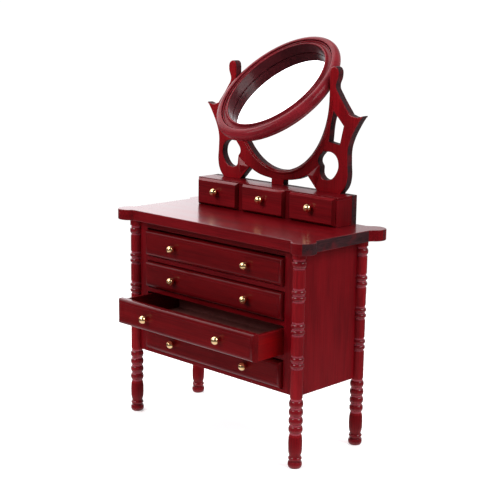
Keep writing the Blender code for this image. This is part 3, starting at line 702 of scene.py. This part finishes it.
def draw_ear(shape, start, depth, z):
    """From the middle of one end to the middle of the right side, round the ear."""
    outward = -1 if depth == "front" else 1
    cove = COVES[depth]
    side_x = TOP_HIGH.x - EAR_REACH
    edge_y = (TOP_LOW if outward < 0 else TOP_HIGH).y - outward * EAR_REACH
    inset = EAR_RADIUS - EAR_REACH
    run = math.sqrt((EAR_RADIUS + cove) ** 2 - (inset + cove) ** 2)
    turn = math.degrees(math.atan2(inset + cove, run))
    ear = Vector((TOP_HIGH.x - EAR_RADIUS, edge_y - outward * inset, z))
    first = Vector((ear.x - run, edge_y + outward * cove, z))
    last = Vector((side_x + cove, ear.y - outward * run, z))
    point = pull(shape, start, (first.x, edge_y, z))
    point = swing(shape, point, first, outward * (90 - turn), COVE_STEPS)
    point = swing(shape, point, ear, -outward * (270 - 2 * turn), EAR_STEPS)
    point = swing(shape, point, last, outward * (90 - turn), COVE_STEPS)
    return pull(shape, point, (side_x, (TOP_LOW.y + TOP_HIGH.y) / 2, z))


print("an ear reaches", EAR_REACH / MM, "mm past the straight edges")

# %% Cut the table top
def cut_table_top():
    shape = bmesh.new()
    base_z = TOP_LOW.z - GLUE_GAP
    for depth, edge_y in (("front", TOP_LOW.y + EAR_REACH), ("back", TOP_HIGH.y - EAR_REACH)):
        start = shape.verts.new((0.0, edge_y, base_z))
        draw_ear(shape, start, depth, base_z)
    everything = list(shape.verts) + list(shape.edges)
    bmesh.ops.mirror(shape, geom=everything, axis="X", merge_dist=HAIR)
    bmesh.ops.remove_doubles(shape, verts=shape.verts, dist=HAIR)
    face = bmesh.ops.contextual_create(shape, geom=list(shape.edges))["faces"]
    grown = bmesh.ops.extrude_face_region(shape, geom=face)["geom"]
    lifted = verts_of(grown)
    bmesh.ops.translate(shape, verts=lifted, vec=(0.0, 0.0, TOP_HIGH.z - base_z))
    bmesh.ops.recalc_face_normals(shape, faces=shape.faces)
    for face in shape.faces:
        if shows_end_grain(face):
            face.material_index = OTHER
    ease(shape, level_edges(shape, Z), TOP_EASE, 3)
    return shape


def shows_end_grain(face):
    """The straight ends of the board, and the outer side of its front right ear."""
    centre = face.calc_center_median()
    on_front_ear = centre.y < TOP_LOW.y + 2 * EAR_RADIUS and centre.x > 0
    return abs(face.normal.x) > 0.995 or (on_front_ear and face.normal.x > 0.6)


top = cut_table_top()
finish_piece(top, "table_top_board", "root", "red_lacquer", [lacquer_top, sawn], "table_top")
print("table top is", round((TOP_HIGH.x - TOP_LOW.x) / MM, 1), "mm over its ears")

# %% [markdown]
# ## Long drawers
# A drawer front is a board whose face is moulded all round: a small quirk, then a round that
# falls back to the edges. Insetting the face and pushing it forwards leaves the quirk, and a
# bevel on the outer rim is the round. The tray behind it is four thin boards, let in to each
# other at the corners.

# %% Mould the drawer fronts
FRONT_ROUND = 1.25 * MM
QUIRK_WIDTH = 0.10 * MM
QUIRK_RISE = 0.09 * MM
QUIRK_SLOPE = 0.02 * MM
BACK_EASE = 0.1 * MM
TRAY_EASE = 0.08 * MM
BASE_EASE = 0.05 * MM


def edges_at(shape, depth):
    """The edges that lie in one plane, so far back."""
    return [edge for edge in shape.edges if all(abs(v.co.y - depth) < HAIR for v in edge.verts)]


def front_face(shape):
    return min(shape.faces, key=lambda face: face.calc_center_median().y)


def moulded_front(low, high):
    """A board whose front face stands a little proud inside a rounded rim."""
    rim_depth = low.y + QUIRK_RISE
    shape = block((low.x, rim_depth, low.z), high)
    ease(shape, edges_at(shape, rim_depth), FRONT_ROUND, 6)
    face = front_face(shape)
    bmesh.ops.inset_individual(shape, faces=[face], thickness=QUIRK_WIDTH, depth=0.0)
    bmesh.ops.inset_individual(shape, faces=[face], thickness=QUIRK_SLOPE, depth=QUIRK_RISE)
    ease(shape, edges_at(shape, high.y), BACK_EASE, 1)
    return shape


DRAWERS = ["drawer_1", "drawer_2", "drawer_3", "drawer_4"]
for name in DRAWERS:
    node = f"{name}_front"
    front = moulded_front(*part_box(node))
    # The fronts' darker finish is painted shade
    finish_piece(front, f"{name}_moulded_front", name, "red_lacquer", [lacquers["fronts"]], node)
    for side, _ in SIDES:
        board(f"{name}_side_{side}", name, lacquers["bright"], (0, TIGHT, 0), (0, 0, 0), TRAY_EASE)
    let_in = (TIGHT, 0, 0)
    board(f"{name}_back", name, inside, let_in, let_in, TRAY_EASE, "plain_inside")
    let_in = (TIGHT, TIGHT, 0)
    board(f"{name}_base", name, inside, let_in, let_in, BASE_EASE, "plain_inside")
print("long drawers:", DRAWERS)

# %% [markdown]
# ## Ball knobs
# Each knob is a brass ball turned on a short neck, with a thin collar where it meets the wood.
# The lathe runs along Y here, so the outline is drawn standing up and then laid down.

# %% Turn the knobs
KNOB_STEPS = 40
BALL_STEPS = 22
NECK_RADIUS = 0.42 * MM
COLLAR_RADIUS = 0.46 * MM
COLLAR_HEIGHT = 0.05 * MM
NECK_LOW = 0.16 * MM
BALL_SWELL = 0.13 * MM


def knob_outline(radius, length):
    """From the wood out to the crown of the ball."""
    line = Outline()
    line.to(COLLAR_RADIUS, 0.0)
    line.to(COLLAR_RADIUS, COLLAR_HEIGHT)
    line.to(NECK_RADIUS, NECK_LOW)
    middle = length - radius
    start = math.asin(NECK_RADIUS / radius)
    for step in range(BALL_STEPS + 1):
        angle = start + (math.pi - start) * step / BALL_STEPS
        line.to(max(0.0, radius * math.sin(angle)), middle - radius * math.cos(angle))
    return line.points


def turn_knob(node, body):
    low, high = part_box(node)
    radius = (high.z - low.z) / 2 + BALL_SWELL
    seat = Vector(((low.x + high.x) / 2, high.y + GLUE_GAP, (low.z + high.z) / 2))
    shape = turned(knob_outline(radius, seat.y - low.y), KNOB_STEPS, -INWARD, seat)
    finish_piece(shape, f"turned_{node}", body, "brass", [brass], node)
    return radius


for name in DRAWERS:
    for side, _ in SIDES:
        knob_radius = turn_knob(f"{name}_knob_{side}", name)
print("ball knobs are", round(2 * knob_radius / MM, 2), "mm across")

# %% [markdown]
# ## The small case and its drawers
# The case is a shallow box with three pockets. Each small drawer has a thick front whose four
# sides are planed off to a steep bevel, so that it looks like a cut stone. The face is inset
# and then brought forwards, which gives the bevels their mitred corners. The box behind each
# front is a piece of its own, in bare wood.

# %% Build the case
CASE_EASE = 0.14 * MM
board("case_top", "root", lacquer_case_top, (0, 0, 0), (0, 1, 0), CASE_EASE)
for side, _ in SIDES:
    board(f"case_end_{side}", "root", lacquer_z, (0, 0, SNUG), (0, 1, SNUG), CASE_EASE)
    node = f"case_partition_{side}"
    board(node, "root", lacquer_z, (0, 0, SNUG), (0, SNUG, SNUG), CASE_EASE)
print("case built, pieces so far:", len(made_pieces))

# %% Plane the small fronts and hollow their boxes
SMALL_BEVEL = 1.0 * MM
SMALL_EASE = 0.09 * MM
SMALL_FRONT_DEPTH = 1.35 * MM
SMALL_EDGE = 0.35 * MM
SMALL_WALL = 1.1 * MM
SMALL_FLOOR = 1.0 * MM
POCKET_INSET = 0.5 * MM


def planed_front(low, high):
    """A front with four planed bevels that meet in mitres."""
    shape = block(low, high)
    face = front_face(shape)
    sides = [edge for edge in shape.edges if edge not in list(face.edges)]
    for vert in face.verts:
        vert.co.y = high.y - SMALL_EDGE
    bmesh.ops.inset_individual(shape, faces=[face], thickness=SMALL_BEVEL, depth=0.0)
    for vert in face.verts:
        vert.co.y = low.y
    bmesh.ops.recalc_face_normals(shape, faces=shape.faces)
    # The bevels that face right and forwards take the fronts' darker finish, as painted shade
    for plane in shape.faces:
        if plane.normal.x > 0.3 and plane.normal.y < -0.3:
            plane.material_index = OTHER
    ease(shape, list(face.edges) + sides, SMALL_EASE)
    return shape


def small_box(low, high):
    """The box behind a small front: a block whose top is inset and sunk."""
    shape = block(low, high)
    top = max(shape.faces, key=lambda f: f.calc_center_median().z)
    bmesh.ops.inset_individual(shape, faces=[top], thickness=SMALL_WALL, depth=0.0)
    for vert in top.verts:
        vert.co.z = low.z + SMALL_FLOOR
    return shape


for place in ("left", "middle", "right"):
    name = f"small_drawer_{place}"
    knob_radius = turn_knob(f"{name}_knob", name)
    low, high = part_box(name)
    join = low.y + SMALL_FRONT_DEPTH
    front = planed_front(low, Vector((high.x, join, high.z)))
    finishes = [lacquers["small_fronts"], lacquers["fronts"]]
    finish_piece(front, f"{name}_front", name, "red_lacquer", finishes, name)
    box_low = Vector((low.x + POCKET_INSET, join, low.z))
    box_high = Vector((high.x - POCKET_INSET, high.y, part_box("case_top")[0].z - GLUE_GAP))
    finish_piece(small_box(box_low, box_high), f"{name}_box", name, "plain_inside", [inside])
print("small drawers done, pieces so far:", len(made_pieces))

# %% [markdown]
# ## The harp
# The harp was cut from one thin board with a fretsaw. A flat curve suits it, because each sawn
# line is a few points with smooth or sharp corners, and a curve can hold its own holes and its
# own eased edge. Every point is measured from the opening that the mirror swings in or from
# the case that it stands on. Once it is a mesh, its sawn edges are found by the way they face.

# %% Draw the harp's lines
HARP_LOW, HARP_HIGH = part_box("harp_board")
CASE_TOP_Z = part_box("case_top")[1].z
RING_HALF_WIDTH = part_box("mirror_frame")[1].x
MIRROR_CLEARANCE = 0.5 * MM
PIVOT = Vector(frame["joints"][-1]["pos_m"])
RING_HALF_HEIGHT = 26.3 * MM
PIVOT_RISE = 2.5 * MM
PIVOT_SETBACK = 1.2 * MM
OVAL_X = RING_HALF_WIDTH + MIRROR_CLEARANCE
OVAL_Z = RING_HALF_HEIGHT + MIRROR_CLEARANCE
OVAL_MIDDLE = PIVOT.z - PIVOT_RISE
OVAL_STEPS = 10
FRET_SHIFT = -0.9 * MM

# Each point: millimetres out from the oval, millimetres up from a level, and smooth or not
COLUMN = ((6.1, 0.0, False), (7.9, 2.3, True), (8.8, 5.5, True), (8.6, 10.5, True))
HORN = ((8.6, -17.2, True), (9.4, -14.2, True), (12.0, -9.2, True), (14.6, -5.4, False))
STRUT = ((11.8, -6.0, True), (9.0, -5.3, False), (4.1, 1.1, True))
HEAD = ((2.75, 3.5, True), (3.7, 7.0, True), (3.4, 9.3, True), (2.0, 10.1, True))
HEAD += ((0.5, 9.6, True), (0.0, 8.0, False))
UPPER_FRET = ((3.1, -4.8, False), (2.0, -8.5, True), (1.3, -15.0, False))
UPPER_FRET += ((5.9, -15.7, False), (7.4, -9.3, False))
LOWER_FRET = ((-1.2, 13.5, False), (3.4, 13.1, True), (5.4, 10.5, True), (4.7, 6.6, True))
LOWER_FRET += ((1.1, 4.0, True), (-2.0, 5.2, True), (-2.4, 8.3, False), (-3.4, 10.1, True))
GAP_END = ((-12.8, 2.7, True), (-8.1, 4.6, False), (-3.7, 0.0, False))
GAP_STEP = 1.7 * MM
FOOT_HALF_WIDTH = 2.9 * MM


def from_oval(points, level):
    """Points given from the oval's side and a level, as places in metres."""
    return [(OVAL_X + out * MM, level + up * MM, smooth) for out, up, smooth in points]


def harp_outline():
    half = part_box("case_top")[1].x
    right = [(half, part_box("table_top")[1].z, False), (half, CASE_TOP_Z, False)]
    right += from_oval(COLUMN, CASE_TOP_Z)
    right += from_oval(HORN + STRUT + HEAD, OVAL_MIDDLE)
    for step in range(OVAL_STEPS):
        angle = math.pi / 2 * step / OVAL_STEPS
        drop = OVAL_Z * math.sin(angle)
        right.append((OVAL_X * math.cos(angle), OVAL_MIDDLE - drop, step > 0))
    left = [(-across, up, smooth) for across, up, smooth in right[::-1]]
    return right + [(0.0, OVAL_MIDDLE - OVAL_Z, True)] + left


def harp_frets():
    gap = [(FOOT_HALF_WIDTH, CASE_TOP_Z, False), (FOOT_HALF_WIDTH, CASE_TOP_Z + GAP_STEP, False)]
    gap += from_oval(GAP_END, CASE_TOP_Z)
    frets = (from_oval(UPPER_FRET, OVAL_MIDDLE), from_oval(LOWER_FRET, CASE_TOP_Z), gap)
    return [
        [(sign * across + FRET_SHIFT, up, smooth) for across, up, smooth in fret]
        for fret in frets
        for sign in (1, -1)
    ]


print("oval opening:", round(2 * OVAL_X / MM, 1), "mm wide")

# %% Saw the harp
HARP_EASE = 0.42 * MM
CURVE_STEPS = 8


def sawn_board(lines, thickness):
    """A flat curve with holes and eased edges, as a welded bmesh that stands in XZ."""
    curve = bpy.data.curves.new("sawn_lines", "CURVE")
    curve.dimensions = "2D"
    curve.fill_mode = "BOTH"
    curve.extrude = thickness / 2 - HARP_EASE
    curve.bevel_depth = HARP_EASE
    curve.bevel_resolution = 2
    curve.offset = -HARP_EASE
    curve.resolution_u = CURVE_STEPS
    for line in lines:
        spline = curve.splines.new("BEZIER")
        spline.bezier_points.add(len(line) - 1)
        spline.use_cyclic_u = True
        for knot, (across, up, smooth) in zip(spline.bezier_points, line):
            knot.co = (across, up, 0.0)
            knot.handle_left_type = knot.handle_right_type = "AUTO" if smooth else "VECTOR"
    drawn = place_object("sawn_lines", curve)
    bpy.context.view_layer.update()
    graph = bpy.context.evaluated_depsgraph_get()
    mesh = bpy.data.meshes.new_from_object(drawn.evaluated_get(graph))
    bpy.data.objects.remove(drawn)
    bpy.data.curves.remove(curve)
    shape = bmesh.new()
    shape.from_mesh(mesh)
    bpy.data.meshes.remove(mesh)
    bmesh.ops.remove_doubles(shape, verts=shape.verts, dist=0.002 * MM)
    stand = Matrix.Rotation(math.pi / 2, 4, "X")
    bmesh.ops.transform(shape, matrix=stand, verts=shape.verts)
    return shape


harp = sawn_board([harp_outline()] + harp_frets(), HARP_HIGH.y - HARP_LOW.y)
bmesh.ops.translate(harp, verts=harp.verts, vec=(0.0, (HARP_LOW.y + HARP_HIGH.y) / 2, 0.0))
bmesh.ops.recalc_face_normals(harp, faces=harp.faces)
for face in harp.faces:
    if -0.45 < face.normal.y < 0.9:
        face.material_index = OTHER
finish_piece(harp, "fretsawn_harp", "root", "red_lacquer", [lacquers["harp"], sawn], "harp_board")
print("harp is", round((HARP_HIGH.z - HARP_LOW.z) / MM, 1), "mm tall")

# %% [markdown]
# ## Carving on the harp
# A fine bead runs round the lower half of the opening, and a low leaf is cut beside each lower
# fret. The bead is half of a thin ring, spun round and then made oval. A leaf is four corners
# joined by a face, drawn forwards and poked to a point, and it is shaded flat, because its
# cuts are crisp.

# %% Carve the bead
BEAD_OUT_X = 1.15 * MM
BEAD_OUT_Z = 1.05 * MM
BEAD_RADIUS = 0.60 * MM
BEAD_SUNK = 0.28 * MM
BEAD_STEPS = 72


def carved_bead():
    """A fine bead that follows the lower half of the oval on the harp's face."""
    shape = bmesh.new()
    section = bmesh.ops.create_circle(shape, radius=BEAD_RADIUS, segments=10)["verts"]
    bmesh.ops.translate(shape, verts=section, vec=(OVAL_Z + BEAD_OUT_Z, 0.0, 0.0))
    spin(shape, list(shape.verts) + list(shape.edges), math.pi, BEAD_STEPS, INWARD)
    bmesh.ops.holes_fill(shape, edges=[edge for edge in shape.edges if edge.is_boundary])
    narrower = OVAL_Z + BEAD_OUT_Z - OVAL_X - BEAD_OUT_X
    pull_to_axis(shape, lambda reach: narrower)
    bmesh.ops.translate(shape, verts=shape.verts, vec=(0.0, HARP_LOW.y + BEAD_SUNK, OVAL_MIDDLE))
    return shape


def pull_to_axis(shape, narrower):
    """Turn a round ring that stands in XZ into an oval one of even width, by moving it in X."""
    for vert in shape.verts:
        reach = math.hypot(vert.co.x, vert.co.z)
        vert.co.x -= narrower(reach) * vert.co.x / reach


carved_finish = [lacquers["harp"]]
finish_piece(carved_bead(), "harp_carved_bead", "root", "red_lacquer", carved_finish)
print("bead is", 2 * BEAD_RADIUS / MM, "mm wide")

# %% Carve the leaves
# Each leaf's corners: millimetres to the right of the middle and above the small case
LEAVES = {
    "left": ((-20.0, 8.2), (-15.3, 4.8), (-18.9, 2.2), (-20.4, 4.8)),
    "right": ((18.0, 8.4), (13.4, 4.8), (16.8, 1.5), (18.2, 4.9)),
}
LEAF_EDGE = 0.15 * MM
LEAF_RISE = 1.05 * MM


def raised_leaf(corners):
    """A low faceted leaf on the harp's face: its outline, drawn forwards and poked to a point."""
    shape = bmesh.new()
    sunk = HARP_LOW.y + GLUE_GAP
    rim = [shape.verts.new((across * MM, sunk, CASE_TOP_Z + up * MM)) for across, up in corners]
    grown = bmesh.ops.extrude_face_region(shape, geom=[shape.faces.new(rim)])["geom"]
    bmesh.ops.translate(shape, verts=verts_of(grown), vec=(0.0, -GLUE_GAP - LEAF_EDGE, 0.0))
    front = [item for item in grown if isinstance(item, bmesh.types.BMFace)]
    poked = bmesh.ops.poke(shape, faces=front, center_mode="MEAN_WEIGHTED")
    poked["verts"][0].co.y = HARP_LOW.y - LEAF_RISE
    return shape


for side, corners in LEAVES.items():
    leaf = raised_leaf(corners)
    piece = finish_piece(leaf, f"harp_leaf_{side}", "root", "red_lacquer", carved_finish)
    piece.data.shade_flat()
print("harp done, pieces so far:", len(made_pieces))

# %% [markdown]
# ## The swing mirror
# The frame is an oval ring with one moulding all round: a lip next to the glass, a cove, a bead
# and a broad rounded band. Spinning the moulding gives a round ring. Pulling each point towards
# the upright axis by nearly the same amount makes the ring oval and keeps the moulding nearly
# as wide at the sides, where scaling would thin it. The ring is then tipped back about its
# pivots. Its face takes a paler finish as a painted sheen, and its inner wall and its back a
# darker one as painted shade.

# %% Mould the mirror frame
RING_WIDTH = 5.5 * MM
NARROWER_OUTSIDE = RING_HALF_HEIGHT - RING_HALF_WIDTH
NARROWER_INSIDE = 4.45 * MM
RING_INNER = RING_HALF_HEIGHT - RING_WIDTH
LEDGE_WIDTH = 0.12 * MM
LIP_TOP = 2.15 * MM
LIP_RADIUS = 0.36 * MM
LIP_STEPS = 6
COVE_WIDTH = 1.10 * MM
COVE_DEPTH = 0.70 * MM
COVE_SEGMENTS = 8
RING_BEAD_OUT = 2.42 * MM
RING_BEAD_DROP = 1.0 * MM
RING_BEAD_RADIUS = 0.36 * MM
RING_BEAD_HEIGHT = 0.5 * MM
BAND_SEGMENTS = 16
BAND_RADIUS = 2.0 * MM
BAND_LIFT = 0.10 * MM
BAND_INSET = 0.05 * MM
BAND_FOOT = 0.4 * MM
RING_BACK = 2.6 * MM
GLASS_LEVEL = -1.75 * MM
SEAT_WIDTH = 1.2 * MM
RING_STEPS = 144
MIRROR_TILT = math.radians(51.7)


def arc(out, level, width, height, start, sweep, steps):
    """Points along an oval arc, its start and its sweep in degrees."""
    angles = [math.radians(start + sweep * step / steps) for step in range(steps + 1)]
    return [(out + width * math.cos(a), level + height * math.sin(a)) for a in angles]


def ring_section():
    """The moulding, from the glass's seat over the front and round to the back: (out, level)."""
    points = [
        (RING_INNER + 0.25 * MM, GLASS_LEVEL),
        (RING_INNER + 0.02 * MM, GLASS_LEVEL + 0.25 * MM),
        (RING_INNER, -0.15 * MM),
        (RING_INNER + LEDGE_WIDTH, 0.10 * MM),
    ]
    lip_middle = RING_INNER + LEDGE_WIDTH + LIP_RADIUS
    lip_level = LIP_TOP - LIP_RADIUS
    points += arc(lip_middle, lip_level, LIP_RADIUS, LIP_RADIUS, 180, -180, LIP_STEPS)
    cove_end = lip_middle + LIP_RADIUS + COVE_WIDTH
    points += arc(cove_end, lip_level, COVE_WIDTH, COVE_DEPTH, 180, 90, COVE_SEGMENTS)[1:]
    bead = (RING_INNER + RING_BEAD_OUT, LIP_TOP - RING_BEAD_DROP)
    points += arc(*bead, RING_BEAD_RADIUS, RING_BEAD_HEIGHT, 180, -180, LIP_STEPS)
    band_middle = RING_HALF_HEIGHT - BAND_RADIUS - BAND_INSET
    points += arc(band_middle, BAND_LIFT, BAND_RADIUS, BAND_RADIUS, 106, -170, BAND_SEGMENTS)
    points.append((band_middle + BAND_FOOT, -RING_BACK))
    points.append((RING_INNER + SEAT_WIDTH, -RING_BACK))
    points.append((RING_INNER + SEAT_WIDTH, GLASS_LEVEL))
    return points


def tip_back(shape):
    """From the ring's own frame, upright with its front to -Y, to its place on the pivots."""
    tipped = Matrix.Rotation(-MIRROR_TILT, 4, "X")
    to_pivot = Matrix.Translation((0.0, -PIVOT_SETBACK, -PIVOT_RISE))
    place = Matrix.Translation(PIVOT) @ tipped @ to_pivot
    bmesh.ops.transform(shape, matrix=place, verts=shape.verts)


def narrowing(reach):
    """How far in a point of the round ring has to move to make it oval."""
    share = (reach - RING_INNER) / RING_WIDTH
    return NARROWER_INSIDE + (NARROWER_OUTSIDE - NARROWER_INSIDE) * share


def moulded_ring():
    section = [(out, -level, 0.0) for out, level in ring_section()]
    shape = spin_round(section, RING_STEPS, INWARD, closed=True)
    wall = RING_INNER + LEDGE_WIDTH + 0.05 * MM
    for face in shape.faces:
        middle = face.calc_center_median()
        if math.hypot(middle.x, middle.z) < wall or middle.y > RING_BACK - 0.05 * MM:
            face.material_index = OTHER
    pull_to_axis(shape, narrowing)
    tip_back(shape)
    return shape


ring = moulded_ring()
# A paler finish as painted sheen on the face, a darker one as painted shade on wall and back
ring_finishes = [lacquers["ring"], lacquers["shaded"]]
finish_piece(ring, "moulded_mirror_frame", "mirror", "red_lacquer", ring_finishes, "mirror_frame")
print("mirror frame has", RING_STEPS, "sections round it")

# %% [markdown]
# ## Pane and backing
# The silvered pane drops into the frame from behind, and a card holds it there. Both are flat
# oval plates, so they start as a thin drum whose rims are eased, and are narrowed and tipped
# with the same two steps as the frame, so that they fit it.

# %% Cut the pane and its backing
GLASS_THICKNESS = 0.45 * MM
GLASS_REACH = RING_INNER + SEAT_WIDTH - 0.1 * MM
PLATE_GAP = 0.02 * MM
PLATE_EASE = 0.06 * MM
BACKING_SUNK = 0.05 * MM


def oval_plate(front, back):
    """A flat oval plate between two levels, to go in the frame."""
    shape = bmesh.new()
    middle = Matrix.Translation((0.0, -(front + back) / 2, 0.0))
    bmesh.ops.create_cone(
        shape,
        cap_ends=True,
        segments=RING_STEPS,
        radius1=GLASS_REACH,
        radius2=GLASS_REACH,
        depth=front - back,
        matrix=middle @ Matrix.Rotation(math.pi / 2, 4, "X"),
    )
    ease(shape, level_edges(shape, Y), PLATE_EASE)
    pull_to_axis(shape, narrowing)
    tip_back(shape)
    return shape


pane_back = GLASS_LEVEL - GLASS_THICKNESS
pane = oval_plate(GLASS_LEVEL - PLATE_GAP, pane_back)
finish_piece(pane, "mirror_pane", "mirror", "mirror_glass", [silver], "mirror_glass")
backing = oval_plate(pane_back - PLATE_GAP, -RING_BACK + BACKING_SUNK)
finish_piece(backing, "mirror_backing", "mirror", "plain_inside", [card])
print("pane is", round(2 * (GLASS_REACH - narrowing(GLASS_REACH)) / MM, 1), "mm wide")

# %% [markdown]
# ## Pivot pins
# Two short brass pins carry the frame between the heads of the harp. They are rods with their
# ends rounded over, so that they start easily in their holes.

# %% Turn the pins
PIN_ROUND = 0.15 * MM
PIN_STEPS = 24
for side, _ in SIDES:
    node = f"pivot_pin_{side}"
    low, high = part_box(node)
    radius = (high.z - low.z) / 2
    length = high.x - low.x
    line = Outline()
    line.to(radius - PIN_ROUND, 0.0)
    line.to(radius, PIN_ROUND)
    line.to(radius, length - PIN_ROUND)
    line.to(radius - PIN_ROUND, length)
    line.to(0.0, length)
    start = Vector((low.x, (low.y + high.y) / 2, (low.z + high.z) / 2))
    pin = turned(line.points, PIN_STEPS, (1.0, 0.0, 0.0), start)
    finish_piece(pin, f"turned_{node}", "root", "brass", [brass], node)
print("pieces made:", len(made_pieces))

# %% [markdown]
# ## Studio
# The table stands on a pale floor in a plain white room. What the lacquer mirrors is a world
# of its own: bright behind the table and to its left, dim in front and to its right, and pale
# below. Most faces then mirror little and keep their depth, and only those that look past the
# table shine. Three soft boxes light it, from the left, from nearly in front and from the
# right.

# %% Floor and room
FLOOR_RADIUS = 0.21
ROOM_RADIUS = 3.0
BEHIND = Vector((-0.60, 0.75, 0.28)).normalized()
LEFTWARD = Vector((-0.743, -0.669, 0.0))
WHITE = colour(1.0, 1.0, 1.0)
FLOOR_GLOW = 0.35
ROOM_GLOW = 1.05
BEHIND_GLOW = 2.2
BELOW_GLOW = 0.8
LEAST_GLOW = 0.12


def add_stage(shape, name, material):
    mesh = bpy.data.meshes.new(name)
    shape.to_mesh(mesh)
    shape.free()
    mesh.materials.append(material)
    item = place_object(name, mesh)
    return item


pale = {
    "Base Color": colour(0.90, 0.90, 0.90),
    "Roughness": 0.8,
    "Specular IOR Level": 0.1,
    "Emission Color": WHITE,
    "Emission Strength": FLOOR_GLOW,
}
floor_material, _, _ = start_material("pale_floor", pale)
disc = bmesh.new()
bmesh.ops.create_circle(disc, cap_ends=True, radius=FLOOR_RADIUS, segments=96)
floor = add_stage(disc, "floor", floor_material)
floor.visible_glossy = False

room_material, room_shader, room_wire = start_material("room_white")
glow = room_wire.node("ShaderNodeEmission", {}, {"Color": WHITE, "Strength": ROOM_GLOW})
room_output = room_material.node_tree.nodes["Material Output"]
link(glow, room_output, "Surface")
room_material.node_tree.nodes.remove(room_shader)
ball = bmesh.new()
bmesh.ops.create_uvsphere(ball, u_segments=32, v_segments=16, radius=ROOM_RADIUS)
bmesh.ops.reverse_faces(ball, faces=ball.faces)
room = add_stage(ball, "white_room", room_material)
room.visible_diffuse = False
room.visible_glossy = False
room.visible_transmission = False
room.visible_shadow = False
print("floor is", 2 * FLOOR_RADIUS, "m across")

# %% The world that the lacquer mirrors
world = bpy.data.worlds.new("studio")
world.use_nodes = True
bpy.context.scene.world = world
sky = Wire(world.node_tree)
direction = sky.node("ShaderNodeTexCoord", output="Generated")
height = sky.node("ShaderNodeSeparateXYZ", {}, {0: direction}, "Z")
above = height.step(-0.06, 0.08)
below = (0.0 - height).step(0.25, 0.60)
to_left = direction.dot(LEFTWARD).step(-0.08, 0.12) * 0.65 + 0.35
behind = direction.dot(BEHIND).step(0.10, 0.85) * to_left
brightness = behind * above * BEHIND_GLOW + below * BELOW_GLOW + LEAST_GLOW
background = world.node_tree.nodes["Background"]
background.inputs["Color"].default_value = colour(1.0, 0.965, 0.995)
link(brightness, background, "Strength")
print("world ready")

# %% Soft boxes
MIDDLE = Vector((0.0, 0.0, 0.065))


def soft_box(name, azimuth, elevation, distance, size, power):
    """An area light that looks at the table. Azimuth 0 is in front and 90 on the right."""
    light = bpy.data.lights.new(name, "AREA")
    light.shape = "SQUARE"
    light.size = size
    light.energy = power
    lamp = place_object(name, light)
    a = math.radians(azimuth)
    e = math.radians(elevation)
    back = Vector((math.sin(a) * math.cos(e), -math.cos(a) * math.cos(e), math.sin(e)))
    lamp.location = MIDDLE + back * distance
    lamp.rotation_euler = back.to_track_quat("Z", "Y").to_euler()


soft_box("ceiling_left", -85, 50, distance=1.4, size=1.6, power=9.5)
soft_box("front_left", -16, 38, distance=1.3, size=0.7, power=12.0)
soft_box("back_right", 104, 38, distance=1.3, size=0.7, power=14.0)
print("soft boxes placed")

# %% [markdown]
# ## Camera
# The camera stands to the right of the front and a little above the top, with a long lens, so
# that upright lines stay almost upright.

# %% Place the camera
CAMERA_PLACE = Vector((0.28176, -0.29237, 0.14683))
CAMERA_AZIMUTH = math.radians(43.89)
CAMERA_ELEVATION = math.radians(11.594)
CAMERA_ROLL = math.radians(0.854)
LENS = 86.25

camera = place_object("camera", bpy.data.cameras.new("camera"))
camera.data.lens = LENS
camera.data.sensor_width = 36.0
camera.data.clip_start = 0.01
camera.data.clip_end = 20.0
around = Matrix.Rotation(CAMERA_AZIMUTH, 4, "Z")
down = Matrix.Rotation(math.pi / 2 - CAMERA_ELEVATION, 4, "X")
roll = Matrix.Rotation(CAMERA_ROLL, 4, "Z")
camera.matrix_world = Matrix.Translation(CAMERA_PLACE) @ around @ down @ roll
bpy.context.scene.camera = camera
bpy.context.scene.view_settings.view_transform = "Standard"
print("camera at", tuple(round(value, 3) for value in CAMERA_PLACE))
